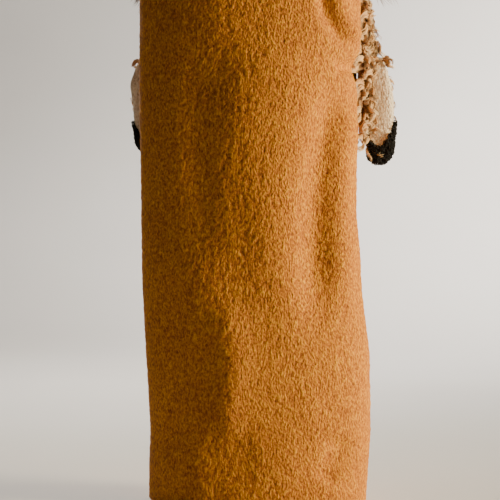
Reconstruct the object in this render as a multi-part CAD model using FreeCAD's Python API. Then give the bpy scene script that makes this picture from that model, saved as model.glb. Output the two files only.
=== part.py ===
"""Plush bag puppet, built like a paper bag puppet: a long plush sleeve that is open at the hem, with
a stuffed head flap folded down over the upper front.  The hand goes up the lined sleeve, the knuckles
sit under the crown, and the fingers bend forward into a pocket in the flap, which swings on the fold
at its top edge and so opens the mouth.

Frame: millimetres, +Z up, the face looks along -Y, origin at the centre of the hand opening, in the
plane of the hem.  Every node is written to parts/NAME.step.
"""

import FreeCAD, Part
import math
import os

Vector = FreeCAD.Vector

# ---------------------------------------------------------------- driving dimensions (mm, degrees)
# cloth
PLUSH = 2.6                 # backing and pile of the plush
LINING = 0.8                # knitted lining cloth
FELT = 1.4                  # mouth cloth
SEWN_GAP = 0.3              # air between two layers that lie together
BOARD = 2.0                 # stiffening board
MOVING_GAP = 0.3            # air round a fold that turns
CUT_OVERRUN = 1.0           # how far a cutting block runs past an open side
# sleeve
SLEEVE_WIDTH = 140.0
SLEEVE_DEPTH = 78.0
SLEEVE_CORNER = 30.0
SHOULDER_HEIGHT = 334.0
HEM_DEPTH = 15.0
HEM_TURN = 2.0
LABEL_WIDTH = 30.0
LABEL_LENGTH = 35.0
LABEL_THICKNESS = 0.5
LABEL_ABOVE_HEM = 7.0
# fold at the top of the mouth, and the crown over the knuckles
FOLD_RISE = 4.0             # fold line above the shoulder seam
FOLD_ROLL_RADIUS = 3.0
MOUTH_AIR = 0.6             # between the lower mouth cloth and the fold line
CROWN_EDGE = 8.0
VISOR_GAP = 0.8             # between the crown's lining and the flap that turns in it
# head flap
FLAP_THICKNESS = 42.0       # fold line to the front of the face, and the radius of the brow
FLAP_DROP = 101.0           # fold line down to the flap's lower edge
FLAP_FRONT_CORNER = 22.0
FLAP_TOP_CORNER = 20.0
FLAP_LOWER_CORNER = 16.0
FLAP_LIP_RADIUS = 18.0
BOARD_MARGIN = 9.0
# finger pocket
POCKET_WIDTH = 100.0
POCKET_OPEN = 18.0
POCKET_FLOOR = 18.0         # above the flap's lower edge
POCKET_SILL = 4.2           # above the fold line
POCKET_COVER = 1.0          # filling left over the pocket, under the brow
# muzzle and nose
MUZZLE_WIDTH = 74.0
MUZZLE_HEIGHT = 50.0
MUZZLE_REACH = 30.0
MUZZLE_EDGE = 11.0
MUZZLE_ABOVE_LIP = 4.0
NOSE_WIDTH = 27.0
NOSE_HEIGHT = 18.0
NOSE_DEPTH = 10.0
NOSE_EDGE = 4.0
NOSE_RISE = 9.0             # above the middle of the muzzle
PAD_END_FLAT = 2.0          # straight stretch at each end of the muzzle, the nose and the chin
# plastic eyes, with the posts and washers that lock them and the nose
EYE_RADIUS = 8.5
EYE_BULGE = 5.5
EYE_SPACING = 54.0
EYE_BELOW_FOLD = 33.0
POST_RADIUS = 2.4
POST_CLEAR = 6.7            # filling between the end of an eye's post and the finger pocket
POST_HOLE = 2.5             # radius of the hole round a post
POST_END_AIR = 1.0
WASHER_RADIUS = 8.0
WASHER_THICKNESS = 1.6
# ears
EAR_LAYER = 3.5
EAR_TIP_RADIUS = 8.0
EAR_TOP_RADIUS = 10.5
EAR_LENGTH = 67.0           # fold of the ear to its tip
EAR_BELOW_FOLD = 53.0
EAR_SEAM_RADIUS = 2.5
EAR_LOOP_WALL = 1.6
EAR_LOOP_SINK = 1.0         # how far the ear's top reaches into its loop
EAR_LOOP_MARGIN = 1.0       # how far the loop stops short of the ear's width at each end
EAR_BEHIND_FACE = 26.5      # from the front of the face back to the middle of the ear
EAR_BLACK = 25.0            # length of the black tip
EAR_CREAM_END = 15.0        # how far the cream stops short of the tip
EAR_CREAM_HALF = 6.0        # half the width of the cream's scalloped end
EAR_CREAM_CORNER = 5.0
EAR_AIR = 0.7
# shaggy side bands of the head, and the forelock
MANE_THICKNESS = 4.6
MANE_FRONT_MARGIN = 12.0
MANE_BACK_MARGIN = 5.0
MANE_BELOW_LIP = 6.0
MANE_BELOW_FOLD = 8.0
FORELOCK_WIDTH = 62.0
FORELOCK_HEIGHT = 11.0
FORELOCK_FRONT = 15.0
FORELOCK_BACK = 18.0
FORELOCK_CORNER = 6.0
# chin and tongue
CHIN_WIDTH = 78.0
CHIN_HEIGHT = 28.0
CHIN_REACH = 21.0
CHIN_EDGE = 9.0
CHIN_BELOW_LIP = 4.0
TONGUE_WIDTH = 30.0
TONGUE_LENGTH = 25.0
TONGUE_THICKNESS = 2.4
TONGUE_ROLL_RADIUS = 1.8
TONGUE_CORNER = 13.5        # at the two corners of the tip

# ------------------------------------------------------------------------------- derived places
SKIN_STACK = PLUSH + SEWN_GAP + LINING
HALF_WIDTH = SLEEVE_WIDTH / 2
FRONT_FACE = -SLEEVE_DEPTH / 2
BACK_FACE = SLEEVE_DEPTH / 2
FOLD_Y = FRONT_FACE - FELT - MOUTH_AIR
FOLD_Z = SHOULDER_HEIGHT + FOLD_RISE
FLAP_BACK = FOLD_Y - MOVING_GAP
FLAP_FRONT = FOLD_Y - FLAP_THICKNESS
FLAP_BOTTOM = FOLD_Z - FLAP_DROP
FLAP_HALF = HALF_WIDTH - SKIN_STACK - VISOR_GAP
MOUTH_HALF = HALF_WIDTH - SLEEVE_CORNER      # the flat part of the sleeve's front
CROWN_TOP = FOLD_Z + FLAP_THICKNESS + VISOR_GAP + SKIN_STACK
BOARD_BACK = FLAP_BACK - FELT
POCKET_BACK = BOARD_BACK - BOARD
POCKET_FRONT = POCKET_BACK - 2 * LINING - POCKET_OPEN
POCKET_TOP = FOLD_Z + math.sqrt((FLAP_THICKNESS - PLUSH - POCKET_COVER) ** 2 - (FOLD_Y - POCKET_FRONT) ** 2)
POST_LENGTH = POCKET_FRONT - FLAP_FRONT - POST_CLEAR
MUZZLE_BOTTOM = FLAP_BOTTOM + MUZZLE_ABOVE_LIP
MUZZLE_MIDDLE = MUZZLE_BOTTOM + MUZZLE_HEIGHT / 2
MUZZLE_FRONT = FLAP_FRONT - MUZZLE_REACH
NOSE_MIDDLE = MUZZLE_MIDDLE + NOSE_RISE
EYE_Z = FOLD_Z - EYE_BELOW_FOLD
EAR_Y = FLAP_FRONT + EAR_BEHIND_FACE
EAR_FOLD_Z = FOLD_Z - EAR_BELOW_FOLD
MANE_OUTSIDE = FLAP_HALF + MANE_THICKNESS
EAR_INSIDE = max(MANE_OUTSIDE, HALF_WIDTH) + EAR_AIR
EAR_TIP_X = EAR_INSIDE + EAR_TIP_RADIUS
EAR_TIP_Z = EAR_FOLD_Z - EAR_LENGTH + EAR_TIP_RADIUS
EAR_TOP_X = EAR_INSIDE + EAR_TOP_RADIUS
EAR_TOP_Z = EAR_FOLD_Z - EAR_SEAM_RADIUS - MOVING_GAP - EAR_LOOP_WALL - EAR_TOP_RADIUS + EAR_LOOP_SINK
CHIN_TOP = FLAP_BOTTOM - CHIN_BELOW_LIP
CHIN_FRONT = FRONT_FACE - CHIN_REACH
TONGUE_Z = CHIN_TOP - CHIN_EDGE
TONGUE_Y = CHIN_FRONT - MOVING_GAP - TONGUE_THICKNESS / 2
LABEL_BOTTOM = HEM_DEPTH + LABEL_ABOVE_HEM
FAR = 1000.0                # longer than anything here, for cutting tools


# ------------------------------------------------------------------------------------- helpers
def box(x0, x1, y0, y1, z0, z1):
    """A block between two corners, given axis by axis."""
    return Part.makeBox(x1 - x0, y1 - y0, z1 - z0, Vector(x0, y0, z0))


def rod(radius, start, direction, length):
    return Part.makeCylinder(radius, length, start, direction)


def rounded_face(u0, u1, v0, v1, radii, place):
    """A flat face with four corner radii, in order (u0 v0), (u1 v0), (u1 v1), (u0 v1).

    place turns (u, v) into a point, so the same outline serves plan, side and front views."""
    corners = [(u0, v0), (u1, v0), (u1, v1), (u0, v1)]
    steps = [(1, 0), (0, 1), (-1, 0), (0, -1)]
    ends = []
    edges = []
    for k, (u, v) in enumerate(corners):
        radius = radii[k]
        before = steps[k - 1]
        after = steps[k]
        start = (u - before[0] * radius, v - before[1] * radius)
        stop = (u + after[0] * radius, v + after[1] * radius)
        ends.append((start, stop))
        if radius > 0:
            centre = (start[0] + after[0] * radius, start[1] + after[1] * radius)
            pull = radius / math.sqrt(2)
            middle = (centre[0] + (before[0] - after[0]) * pull, centre[1] + (before[1] - after[1]) * pull)
            edges.append(Part.Arc(place(*start), place(*middle), place(*stop)).toShape())
    for k in range(4):
        start = ends[k][1]
        stop = ends[(k + 1) % 4][0]
        if math.dist(start, stop) > 1e-6:
            edges.append(Part.makeLine(place(*start), place(*stop)))
    return Part.Face(Part.Wire(Part.__sortEdges__(edges)))


def plan_prism(x0, x1, y0, y1, z0, z1, radii):
    """An upright prism whose outline is rounded as seen from above."""
    face = rounded_face(x0, x1, y0, y1, radii, lambda u, v: Vector(u, v, z0))
    return face.extrude(Vector(0, 0, z1 - z0))


def front_prism(x0, x1, z0, z1, y0, y1, radii):
    """A prism along Y whose outline is rounded as seen from the front."""
    face = rounded_face(x0, x1, z0, z1, radii, lambda u, v: Vector(u, y0, v))
    return face.extrude(Vector(0, y1 - y0, 0))


def side_prism(wire_edges, half_width):
    """A prism across X from edges drawn in the plane x = 0."""
    face = Part.Face(Part.Wire(Part.__sortEdges__(wire_edges)))
    face.translate(Vector(-half_width, 0, 0))
    return face.extrude(Vector(2 * half_width, 0, 0))


def at(y, z):
    return Vector(0, y, z)


def sleeve_block(inset, z0, z1):
    """The sleeve's plan, drawn in by inset, between two heights."""
    radius = SLEEVE_CORNER - inset
    x = HALF_WIDTH - inset
    y = BACK_FACE - inset
    return plan_prism(-x, x, -y, y, z0, z1, [radius] * 4)


def sleeve_ring(outer_inset, inner_inset, z0, z1):
    return sleeve_block(outer_inset, z0, z1).cut(sleeve_block(inner_inset, z0, z1))


def crown_block(inset, overrun=0.0):
    """The crown's outside, drawn in by inset; overrun lengthens a cutting block forwards and downwards."""
    x = HALF_WIDTH - inset
    front = FOLD_Y - overrun
    floor = SHOULDER_HEIGHT - overrun
    back = BACK_FACE - inset
    top = CROWN_TOP - inset
    rise = top - SHOULDER_HEIGHT
    curve = math.sqrt(0.5) * rise
    centre_y = back - rise
    middle = at(centre_y + curve, SHOULDER_HEIGHT + curve)
    edges = [
        Part.makeLine(at(front, floor), at(back, floor)),
        Part.Arc(at(back, SHOULDER_HEIGHT), middle, at(centre_y, top)).toShape(),
        Part.makeLine(at(centre_y, top), at(front, top)),
        Part.makeLine(at(front, top), at(front, floor)),
    ]
    if overrun > 0:
        edges.append(Part.makeLine(at(back, floor), at(back, SHOULDER_HEIGHT)))
    corner = SLEEVE_CORNER - inset
    plan = plan_prism(-x, x, front, back, floor, top, [0, 0, corner, corner])
    edge = CROWN_EDGE - inset
    face = front_prism(-x, x, floor, top, front, back, [0, 0, edge, edge])
    return side_prism(edges, x).common(plan).common(face)


def flap_block(inset):
    """The head flap's outside, drawn in by inset, with its back in the plane of the fold."""
    x = FLAP_HALF - inset
    radius = FLAP_THICKNESS - inset
    bottom = FLAP_BOTTOM + inset
    lip = FLAP_LIP_RADIUS - inset
    front = FOLD_Y - radius
    top = FOLD_Z + math.sqrt(radius**2 - MOVING_GAP**2)
    curve = math.sqrt(0.5)
    brow = at(FOLD_Y - curve * radius, FOLD_Z + curve * radius)
    edges = [
        Part.makeLine(at(FLAP_BACK, bottom), at(FLAP_BACK, top)),
        Part.Arc(at(FLAP_BACK, top), brow, at(front, FOLD_Z)).toShape(),
        Part.makeLine(at(front, FOLD_Z), at(front, bottom + lip)),
        Part.Arc(
            at(front, bottom + lip),
            at(front + lip - curve * lip, bottom + lip - curve * lip),
            at(front + lip, bottom),
        ).toShape(),
        Part.makeLine(at(front + lip, bottom), at(FLAP_BACK, bottom)),
    ]
    corner = FLAP_FRONT_CORNER - inset
    plan = plan_prism(-x, x, front, FLAP_BACK, bottom, FOLD_Z + radius, [corner, corner, 0, 0])
    upper = FLAP_TOP_CORNER - inset
    lower = FLAP_LOWER_CORNER - inset
    face = front_prism(-x, x, bottom, FOLD_Z + radius, front, FLAP_BACK, [lower, lower, upper, upper])
    return side_prism(edges, x).common(plan).common(face)


def fold_rod(radius):
    """A rod on the fold line, a little shorter than the flap is wide inside its skin."""
    half = FLAP_HALF - PLUSH - MOVING_GAP
    return rod(radius, Vector(-half, FOLD_Y, FOLD_Z), Vector(1, 0, 0), 2 * half)


def pillow(width, z0, z1, y_front, y_back, corner, edge, inset):
    """A pad with rounded corners and a rounded front rim, flat at the back and drawn in by inset."""
    x = width / 2 - inset
    block = front_prism(-x, x, z0 + inset, z1 - inset, y_front + inset, y_back, [corner - inset] * 4)
    rim = [e for e in block.Edges if all(abs(v.Y - y_front - inset) < 1e-6 for v in e.Vertexes)]
    return block.makeFillet(edge - inset, rim)


# ----------------------------------------------------------------------------- sleeve and crown
def sleeve_panels():
    """Front and back plush panels, joined at the side seams in the plane y = 0."""
    ring = sleeve_ring(0, PLUSH, 0, SHOULDER_HEIGHT)
    back = ring.common(box(-FAR, FAR, 0, FAR, -FAR, FAR))
    front = ring.common(box(-FAR, FAR, -FAR, 0, -FAR, FAR))
    return back, front


def crown_panel():
    """The plush roof over the knuckles, with a small gusset above each front corner of the sleeve."""
    shell = crown_block(0).cut(crown_block(PLUSH, CUT_OVERRUN))
    floor = box(-HALF_WIDTH, HALF_WIDTH, FOLD_Y, 0, SHOULDER_HEIGHT, SHOULDER_HEIGHT + PLUSH)
    gussets = floor.cut(sleeve_block(0, SHOULDER_HEIGHT, SHOULDER_HEIGHT + PLUSH))
    gussets = gussets.cut(box(-MOUTH_HALF, MOUTH_HALF, -FAR, FAR, -FAR, FAR))
    return shell.fuse(gussets).removeSplitter().cut(fold_rod(FOLD_ROLL_RADIUS))


def crown_lining():
    outer = PLUSH + SEWN_GAP
    shell = crown_block(outer).cut(crown_block(outer + LINING, CUT_OVERRUN))
    return shell.cut(box(-FAR, FAR, -FAR, FAR, -FAR, SHOULDER_HEIGHT + PLUSH + SEWN_GAP))


def sleeve_lining():
    outer = PLUSH + SEWN_GAP
    return sleeve_ring(outer, outer + LINING, HEM_DEPTH, SHOULDER_HEIGHT)


def hem_band():
    """The plush turned up inside the hand opening."""
    return sleeve_ring(PLUSH, PLUSH + HEM_TURN, 0, HEM_DEPTH)


def care_label():
    half = LABEL_WIDTH / 2
    face = BACK_FACE - SKIN_STACK
    return box(-half, half, face - LABEL_THICKNESS, face, LABEL_BOTTOM, LABEL_BOTTOM + LABEL_LENGTH)


def forelock():
    """The root of the tuft of hair that stands on the crown's front edge and overhangs the brow."""
    half = FORELOCK_WIDTH / 2
    tuft = plan_prism(
        -half,
        half,
        FOLD_Y - FORELOCK_FRONT,
        FOLD_Y + FORELOCK_BACK,
        FOLD_Z,
        CROWN_TOP + FORELOCK_HEIGHT,
        [FORELOCK_CORNER] * 4,
    )
    brow = rod(FLAP_THICKNESS + VISOR_GAP, Vector(-FAR / 2, FOLD_Y, FOLD_Z), Vector(1, 0, 0), FAR)
    behind = box(-FAR, FAR, FOLD_Y, FAR, -FAR, CROWN_TOP)
    low = box(-FAR, FAR, -FAR, FAR, -FAR, CROWN_TOP - SKIN_STACK)
    return tuft.cut(brow).cut(behind).cut(low)


# ---------------------------------------------------------------------------------- the mouth
def mouth_lining_lower():
    """Felt on the sleeve's front, under the flap, up to the fold."""
    cloth = box(-MOUTH_HALF, MOUTH_HALF, FRONT_FACE - FELT, FRONT_FACE, FLAP_BOTTOM, FOLD_Z)
    return cloth.cut(fold_rod(FOLD_ROLL_RADIUS))


def mouth_board_lower():
    """A stiff board behind the lower mouth, glued to the sleeve's lining."""
    face = FRONT_FACE + SKIN_STACK
    low = FLAP_BOTTOM + BOARD_MARGIN
    return box(-MOUTH_HALF, MOUTH_HALF, face, face + BOARD, low, SHOULDER_HEIGHT - BOARD_MARGIN)


def mouth_lining_upper():
    """Felt that closes the back of the flap, under the fold."""
    cloth = flap_block(PLUSH).common(box(-FAR, FAR, BOARD_BACK, FLAP_BACK, -FAR, FOLD_Z))
    return cloth.cut(fold_rod(FOLD_ROLL_RADIUS + MOVING_GAP))


def mouth_board_upper():
    half = FLAP_HALF - PLUSH - BOARD_MARGIN
    low = FLAP_BOTTOM + PLUSH + BOARD_MARGIN
    return box(-half, half, POCKET_BACK, BOARD_BACK, low, FOLD_Z - BOARD_MARGIN / 2)


def chin_block(inset):
    corner = (CHIN_HEIGHT - PAD_END_FLAT) / 2
    low = CHIN_TOP - CHIN_HEIGHT
    return pillow(CHIN_WIDTH, low, CHIN_TOP, CHIN_FRONT, FRONT_FACE, corner, CHIN_EDGE, inset)


def tongue_groove():
    """The space that the tongue's rolled root turns in, at the lip."""
    half = TONGUE_WIDTH / 2 + MOVING_GAP
    return rod(TONGUE_ROLL_RADIUS + MOVING_GAP, Vector(-half, TONGUE_Y, TONGUE_Z), Vector(1, 0, 0), 2 * half)


def chin_skin():
    return chin_block(0).cut(chin_block(PLUSH)).cut(tongue_groove())


def tongue():
    """A felt tongue that hangs from the lip, with a round tip and a rolled root."""
    half = TONGUE_WIDTH / 2
    blade = front_prism(
        -half,
        half,
        TONGUE_Z - TONGUE_LENGTH,
        TONGUE_Z,
        TONGUE_Y - TONGUE_THICKNESS / 2,
        TONGUE_Y + TONGUE_THICKNESS / 2,
        [TONGUE_CORNER, TONGUE_CORNER, 0, 0],
    )
    roll = rod(TONGUE_ROLL_RADIUS, Vector(-half, TONGUE_Y, TONGUE_Z), Vector(1, 0, 0), TONGUE_WIDTH)
    return blade.fuse(roll).removeSplitter()


# ------------------------------------------------------------------------------------- the head
def pocket_shape(inset):
    """The finger pocket in the flap: down behind the board, and out over the fold to the sleeve."""
    back = POCKET_BACK - inset
    front = POCKET_FRONT + inset
    low = FLAP_BOTTOM + POCKET_FLOOR + inset
    sill = FOLD_Z + POCKET_SILL + inset
    top = POCKET_TOP - inset
    corners = [(back, low), (front, low), (front, top), (FLAP_BACK, top), (FLAP_BACK, sill), (back, sill)]
    edges = [Part.makeLine(at(*corners[k]), at(*corners[(k + 1) % 6])) for k in range(6)]
    return side_prism(edges, POCKET_WIDTH / 2 - inset)


def pocket_cavity():
    """The pocket's inside, run on through its mouth."""
    mouth = box(
        -POCKET_WIDTH / 2 + LINING,
        POCKET_WIDTH / 2 - LINING,
        POCKET_BACK - LINING,
        FLAP_BACK + CUT_OVERRUN,
        FOLD_Z + POCKET_SILL + LINING,
        POCKET_TOP - LINING,
    )
    return pocket_shape(LINING).fuse(mouth)


def fixing(x, y, z):
    """The hole for a post, and the space for its washer, behind a skin whose front is at y."""
    inward = Vector(0, 1, 0)
    hole = rod(POST_HOLE, Vector(x, y, z), inward, POST_LENGTH + POST_END_AIR)
    space = rod(WASHER_RADIUS + SEWN_GAP, Vector(x, y + PLUSH, z), inward, WASHER_THICKNESS + SEWN_GAP)
    return hole.fuse(space)


def washer(x, y, z):
    """A locking ring pushed on a post until it lies against the skin's inside."""
    ring = rod(WASHER_RADIUS, Vector(x, y + PLUSH, z), Vector(0, 1, 0), WASHER_THICKNESS)
    return ring.cut(rod(POST_RADIUS, Vector(x, y, z), Vector(0, 1, 0), POST_LENGTH))


def eye(x):
    """A domed plastic eye with its post."""
    ball = (EYE_RADIUS**2 + EYE_BULGE**2) / (2 * EYE_BULGE)
    centre = Vector(x, FLAP_FRONT - EYE_BULGE + ball, EYE_Z)
    dome = Part.makeSphere(ball, centre).common(box(-FAR, FAR, -FAR, FLAP_FRONT, -FAR, FAR))
    post = rod(POST_RADIUS, Vector(x, FLAP_FRONT, EYE_Z), Vector(0, 1, 0), POST_LENGTH)
    return dome.fuse(post)


def nose():
    """A plastic nose with its post."""
    pad = pillow(
        NOSE_WIDTH,
        NOSE_MIDDLE - NOSE_HEIGHT / 2,
        NOSE_MIDDLE + NOSE_HEIGHT / 2,
        MUZZLE_FRONT - NOSE_DEPTH,
        MUZZLE_FRONT,
        (NOSE_HEIGHT - PAD_END_FLAT) / 2,
        NOSE_EDGE,
        0,
    )
    post = rod(POST_RADIUS, Vector(0, MUZZLE_FRONT, NOSE_MIDDLE), Vector(0, 1, 0), POST_LENGTH)
    return pad.fuse(post)


def eye_fixings():
    return fixing(-EYE_SPACING / 2, FLAP_FRONT, EYE_Z).fuse(fixing(EYE_SPACING / 2, FLAP_FRONT, EYE_Z))


def muzzle_block(inset):
    return pillow(
        MUZZLE_WIDTH,
        MUZZLE_BOTTOM,
        MUZZLE_BOTTOM + MUZZLE_HEIGHT,
        MUZZLE_FRONT,
        FLAP_FRONT,
        (MUZZLE_HEIGHT - PAD_END_FLAT) / 2,
        MUZZLE_EDGE,
        inset,
    )


def head_skin():
    return flap_block(0).cut(flap_block(PLUSH)).cut(eye_fixings())


def head_stuffing():
    """Filling between the skin and the finger pocket."""
    filling = flap_block(PLUSH).cut(pocket_shape(0)).cut(mouth_board_upper())
    filling = filling.cut(box(-FAR, FAR, BOARD_BACK, FLAP_BACK, -FAR, FOLD_Z))
    return filling.cut(fold_rod(FOLD_ROLL_RADIUS + MOVING_GAP)).cut(eye_fixings())


def muzzle_skin():
    return muzzle_block(0).cut(muzzle_block(PLUSH)).cut(fixing(0, MUZZLE_FRONT, NOSE_MIDDLE))


def muzzle_stuffing():
    return muzzle_block(PLUSH).cut(fixing(0, MUZZLE_FRONT, NOSE_MIDDLE))


def mane(side):
    """The backing of the shaggy fur down one side of the flap."""
    x0 = min(side * FLAP_HALF, side * MANE_OUTSIDE)
    band = front_prism(
        FLAP_FRONT + MANE_FRONT_MARGIN,
        FLAP_BACK - MANE_BACK_MARGIN,
        FLAP_BOTTOM - MANE_BELOW_LIP,
        FOLD_Z - MANE_BELOW_FOLD,
        0,
        MANE_THICKNESS,
        [MANE_BACK_MARGIN] * 4,
    )
    band.rotate(Vector(0, 0, 0), Vector(0, 0, 1), 90)
    band.translate(Vector(x0 + MANE_THICKNESS, 0, 0))
    return band.cut(ear_seam(side))


# --------------------------------------------------------------------------------------- ears
def ear_seam(side):
    """The rolled seam that stands out of the head's side and carries the ear."""
    length = EAR_TOP_X + EAR_TOP_RADIUS - FLAP_HALF
    return rod(EAR_SEAM_RADIUS, Vector(side * FLAP_HALF, EAR_Y, EAR_FOLD_Z), Vector(side, 0, 0), length)


def ear_outline(y0, y1, low):
    """An ear pad between two planes: two round ends joined by their outer tangents, cut off at low."""
    top = (EAR_TOP_X, EAR_TOP_Z)
    tip = (EAR_TIP_X, EAR_TIP_Z)
    span = math.dist(top, tip)
    along = ((tip[0] - top[0]) / span, (tip[1] - top[1]) / span)
    across = (-along[1], along[0])
    sine = (EAR_TOP_RADIUS - EAR_TIP_RADIUS) / span
    cosine = math.sqrt(1 - sine**2)

    def rim(centre, radius, way):
        u = centre[0] + radius * (along[0] * sine + way * across[0] * cosine)
        v = centre[1] + radius * (along[1] * sine + way * across[1] * cosine)
        return Vector(u, y0, v)

    cap = Vector(top[0] - along[0] * EAR_TOP_RADIUS, y0, top[1] - along[1] * EAR_TOP_RADIUS)
    end = Vector(tip[0] + along[0] * EAR_TIP_RADIUS, y0, tip[1] + along[1] * EAR_TIP_RADIUS)
    edges = [
        Part.Arc(rim(top, EAR_TOP_RADIUS, 1), cap, rim(top, EAR_TOP_RADIUS, -1)).toShape(),
        Part.makeLine(rim(top, EAR_TOP_RADIUS, -1), rim(tip, EAR_TIP_RADIUS, -1)),
        Part.Arc(rim(tip, EAR_TIP_RADIUS, -1), end, rim(tip, EAR_TIP_RADIUS, 1)).toShape(),
        Part.makeLine(rim(tip, EAR_TIP_RADIUS, 1), rim(top, EAR_TOP_RADIUS, 1)),
    ]
    pad = Part.Face(Part.Wire(Part.__sortEdges__(edges))).extrude(Vector(0, y1 - y0, 0))
    return pad.common(box(-FAR, FAR, -FAR, FAR, low, FAR))


def ear_layers():
    """The three pieces of one ear at the +X side: fur front, cream back, black tip."""
    black_top = EAR_FOLD_Z - EAR_LENGTH + EAR_BLACK
    cream_low = EAR_FOLD_Z - EAR_LENGTH + EAR_CREAM_END
    front = ear_outline(EAR_Y - EAR_LAYER, EAR_Y, black_top)
    cream = ear_outline(EAR_Y, EAR_Y + EAR_LAYER, black_top)
    left = EAR_TIP_X - EAR_CREAM_HALF
    right = EAR_TIP_X + EAR_CREAM_HALF
    scallop = front_prism(
        left, right, cream_low, black_top, EAR_Y, EAR_Y + EAR_LAYER, [EAR_CREAM_CORNER] * 2 + [0, 0]
    )
    cream = cream.fuse(scallop).removeSplitter()
    tip = ear_outline(EAR_Y - EAR_LAYER, EAR_Y + EAR_LAYER, EAR_FOLD_Z - 2 * EAR_LENGTH)
    tip = tip.common(box(-FAR, FAR, -FAR, FAR, -FAR, black_top)).cut(cream)
    inner = EAR_SEAM_RADIUS + MOVING_GAP
    outer = inner + EAR_LOOP_WALL
    start = Vector(EAR_INSIDE + EAR_LOOP_MARGIN, EAR_Y, EAR_FOLD_Z)
    loop = rod(outer, start, Vector(1, 0, 0), 2 * (EAR_TOP_RADIUS - EAR_LOOP_MARGIN))
    hole = rod(inner, Vector(0, EAR_Y, EAR_FOLD_Z), Vector(1, 0, 0), FAR)
    front = front.fuse(loop.cut(cream)).cut(hole).removeSplitter()
    return front, cream.cut(hole), tip


def mirrored(shape):
    return shape.mirror(Vector(0, 0, 0), Vector(1, 0, 0))


# -------------------------------------------------------------------------------- write the nodes
def build():
    back, front = sleeve_panels()
    nodes = {
        "sleeve_back_panel": back,
        "sleeve_front_panel": front,
        "sleeve_lining": sleeve_lining(),
        "hem_band": hem_band(),
        "care_label": care_label(),
        "crown_panel": crown_panel(),
        "crown_lining": crown_lining(),
        "forelock": forelock(),
        "fold_seam_roll": fold_rod(FOLD_ROLL_RADIUS),
        "mouth_lining_lower": mouth_lining_lower(),
        "mouth_board_lower": mouth_board_lower(),
        "chin_skin": chin_skin(),
        "chin_stuffing": chin_block(PLUSH).cut(tongue_groove()),
        "tongue": tongue(),
        "head_skin": head_skin(),
        "head_stuffing": head_stuffing(),
        "finger_pocket": pocket_shape(0).cut(pocket_cavity()),
        "mouth_board_upper": mouth_board_upper(),
        "mouth_lining_upper": mouth_lining_upper(),
        "muzzle_skin": muzzle_skin(),
        "muzzle_stuffing": muzzle_stuffing(),
        "nose": nose(),
        "nose_washer": washer(0, MUZZLE_FRONT, NOSE_MIDDLE),
    }
    fur, cream, tip = ear_layers()
    for name, side in (("left", 1), ("right", -1)):
        x = side * EYE_SPACING / 2
        nodes["eye_" + name] = eye(x)
        nodes["eye_washer_" + name] = washer(x, FLAP_FRONT, EYE_Z)
        nodes["mane_" + name] = mane(side)
        nodes["ear_seam_" + name] = ear_seam(side)
        nodes["ear_front_" + name] = fur if side > 0 else mirrored(fur)
        nodes["ear_lining_" + name] = cream if side > 0 else mirrored(cream)
        nodes["ear_tip_" + name] = tip if side > 0 else mirrored(tip)
    return nodes


os.makedirs("parts", exist_ok=True)
for node, shape in build().items():
    if not shape.isValid() or shape.Volume <= 0:
        raise SystemExit(f"{node} is not a good solid")
    shape.exportStep(os.path.join("parts", node + ".step"))
    print(f"{node}: {len(shape.Solids)} solid(s), {shape.Volume / 1000:.2f} cm3")
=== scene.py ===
import math

import bmesh
import bpy
import numpy as np
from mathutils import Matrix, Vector


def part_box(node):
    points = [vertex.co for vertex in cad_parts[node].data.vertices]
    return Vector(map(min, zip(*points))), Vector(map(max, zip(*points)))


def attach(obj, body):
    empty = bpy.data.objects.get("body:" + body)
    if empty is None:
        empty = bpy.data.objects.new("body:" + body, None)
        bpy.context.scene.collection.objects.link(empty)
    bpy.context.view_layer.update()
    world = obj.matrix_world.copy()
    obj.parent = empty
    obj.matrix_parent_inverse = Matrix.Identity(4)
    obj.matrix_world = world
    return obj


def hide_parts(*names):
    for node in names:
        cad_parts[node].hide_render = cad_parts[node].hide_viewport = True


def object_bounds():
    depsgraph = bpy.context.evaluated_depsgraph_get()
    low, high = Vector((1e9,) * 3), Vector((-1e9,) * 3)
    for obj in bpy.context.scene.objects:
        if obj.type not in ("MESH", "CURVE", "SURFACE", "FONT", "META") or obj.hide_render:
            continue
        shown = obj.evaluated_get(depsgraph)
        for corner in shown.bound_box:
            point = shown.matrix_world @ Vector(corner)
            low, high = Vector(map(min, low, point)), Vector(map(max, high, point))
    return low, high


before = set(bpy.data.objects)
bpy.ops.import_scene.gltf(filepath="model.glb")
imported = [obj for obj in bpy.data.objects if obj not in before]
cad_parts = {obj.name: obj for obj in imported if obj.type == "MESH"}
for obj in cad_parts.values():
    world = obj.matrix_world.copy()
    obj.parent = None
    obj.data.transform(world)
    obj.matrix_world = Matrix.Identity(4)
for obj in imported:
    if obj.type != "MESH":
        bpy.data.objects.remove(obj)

cad_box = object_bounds()


# ---- Studio -------------------------------------------------------------------------------------
# A pale floor that curves up into a round wall, far enough away for a camera on any side.  A warm lamp
# rakes the back from the puppet's right, another lights its face, and two more light the wall and
# the floor.
def new_mesh(name, corners, faces, smooth=True):
    """A mesh object from an array of corners and one or more arrays of faces, triangles or quads."""
    sheets = [np.asarray(f, np.int32) for f in (faces if isinstance(faces, list) else [faces])]
    mesh = bpy.data.meshes.new(name)
    corners = np.asarray(corners, np.float32).reshape(-1, 3)
    mesh.vertices.add(len(corners))
    mesh.vertices.foreach_set("co", corners.ravel())
    sides = np.concatenate([np.full(len(f), f.shape[1], np.int32) for f in sheets])
    mesh.loops.add(int(sides.sum()))
    mesh.loops.foreach_set("vertex_index", np.concatenate([f.ravel() for f in sheets]))
    mesh.polygons.add(len(sides))
    mesh.polygons.foreach_set("loop_start", np.concatenate([[0], np.cumsum(sides)[:-1]]).astype(np.int32))
    mesh.update(calc_edges=True)
    mesh.polygons.foreach_set("use_smooth", np.full(len(sides), smooth))
    made = bpy.data.objects.new(name, mesh)
    bpy.context.collection.objects.link(made)
    return made


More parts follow.
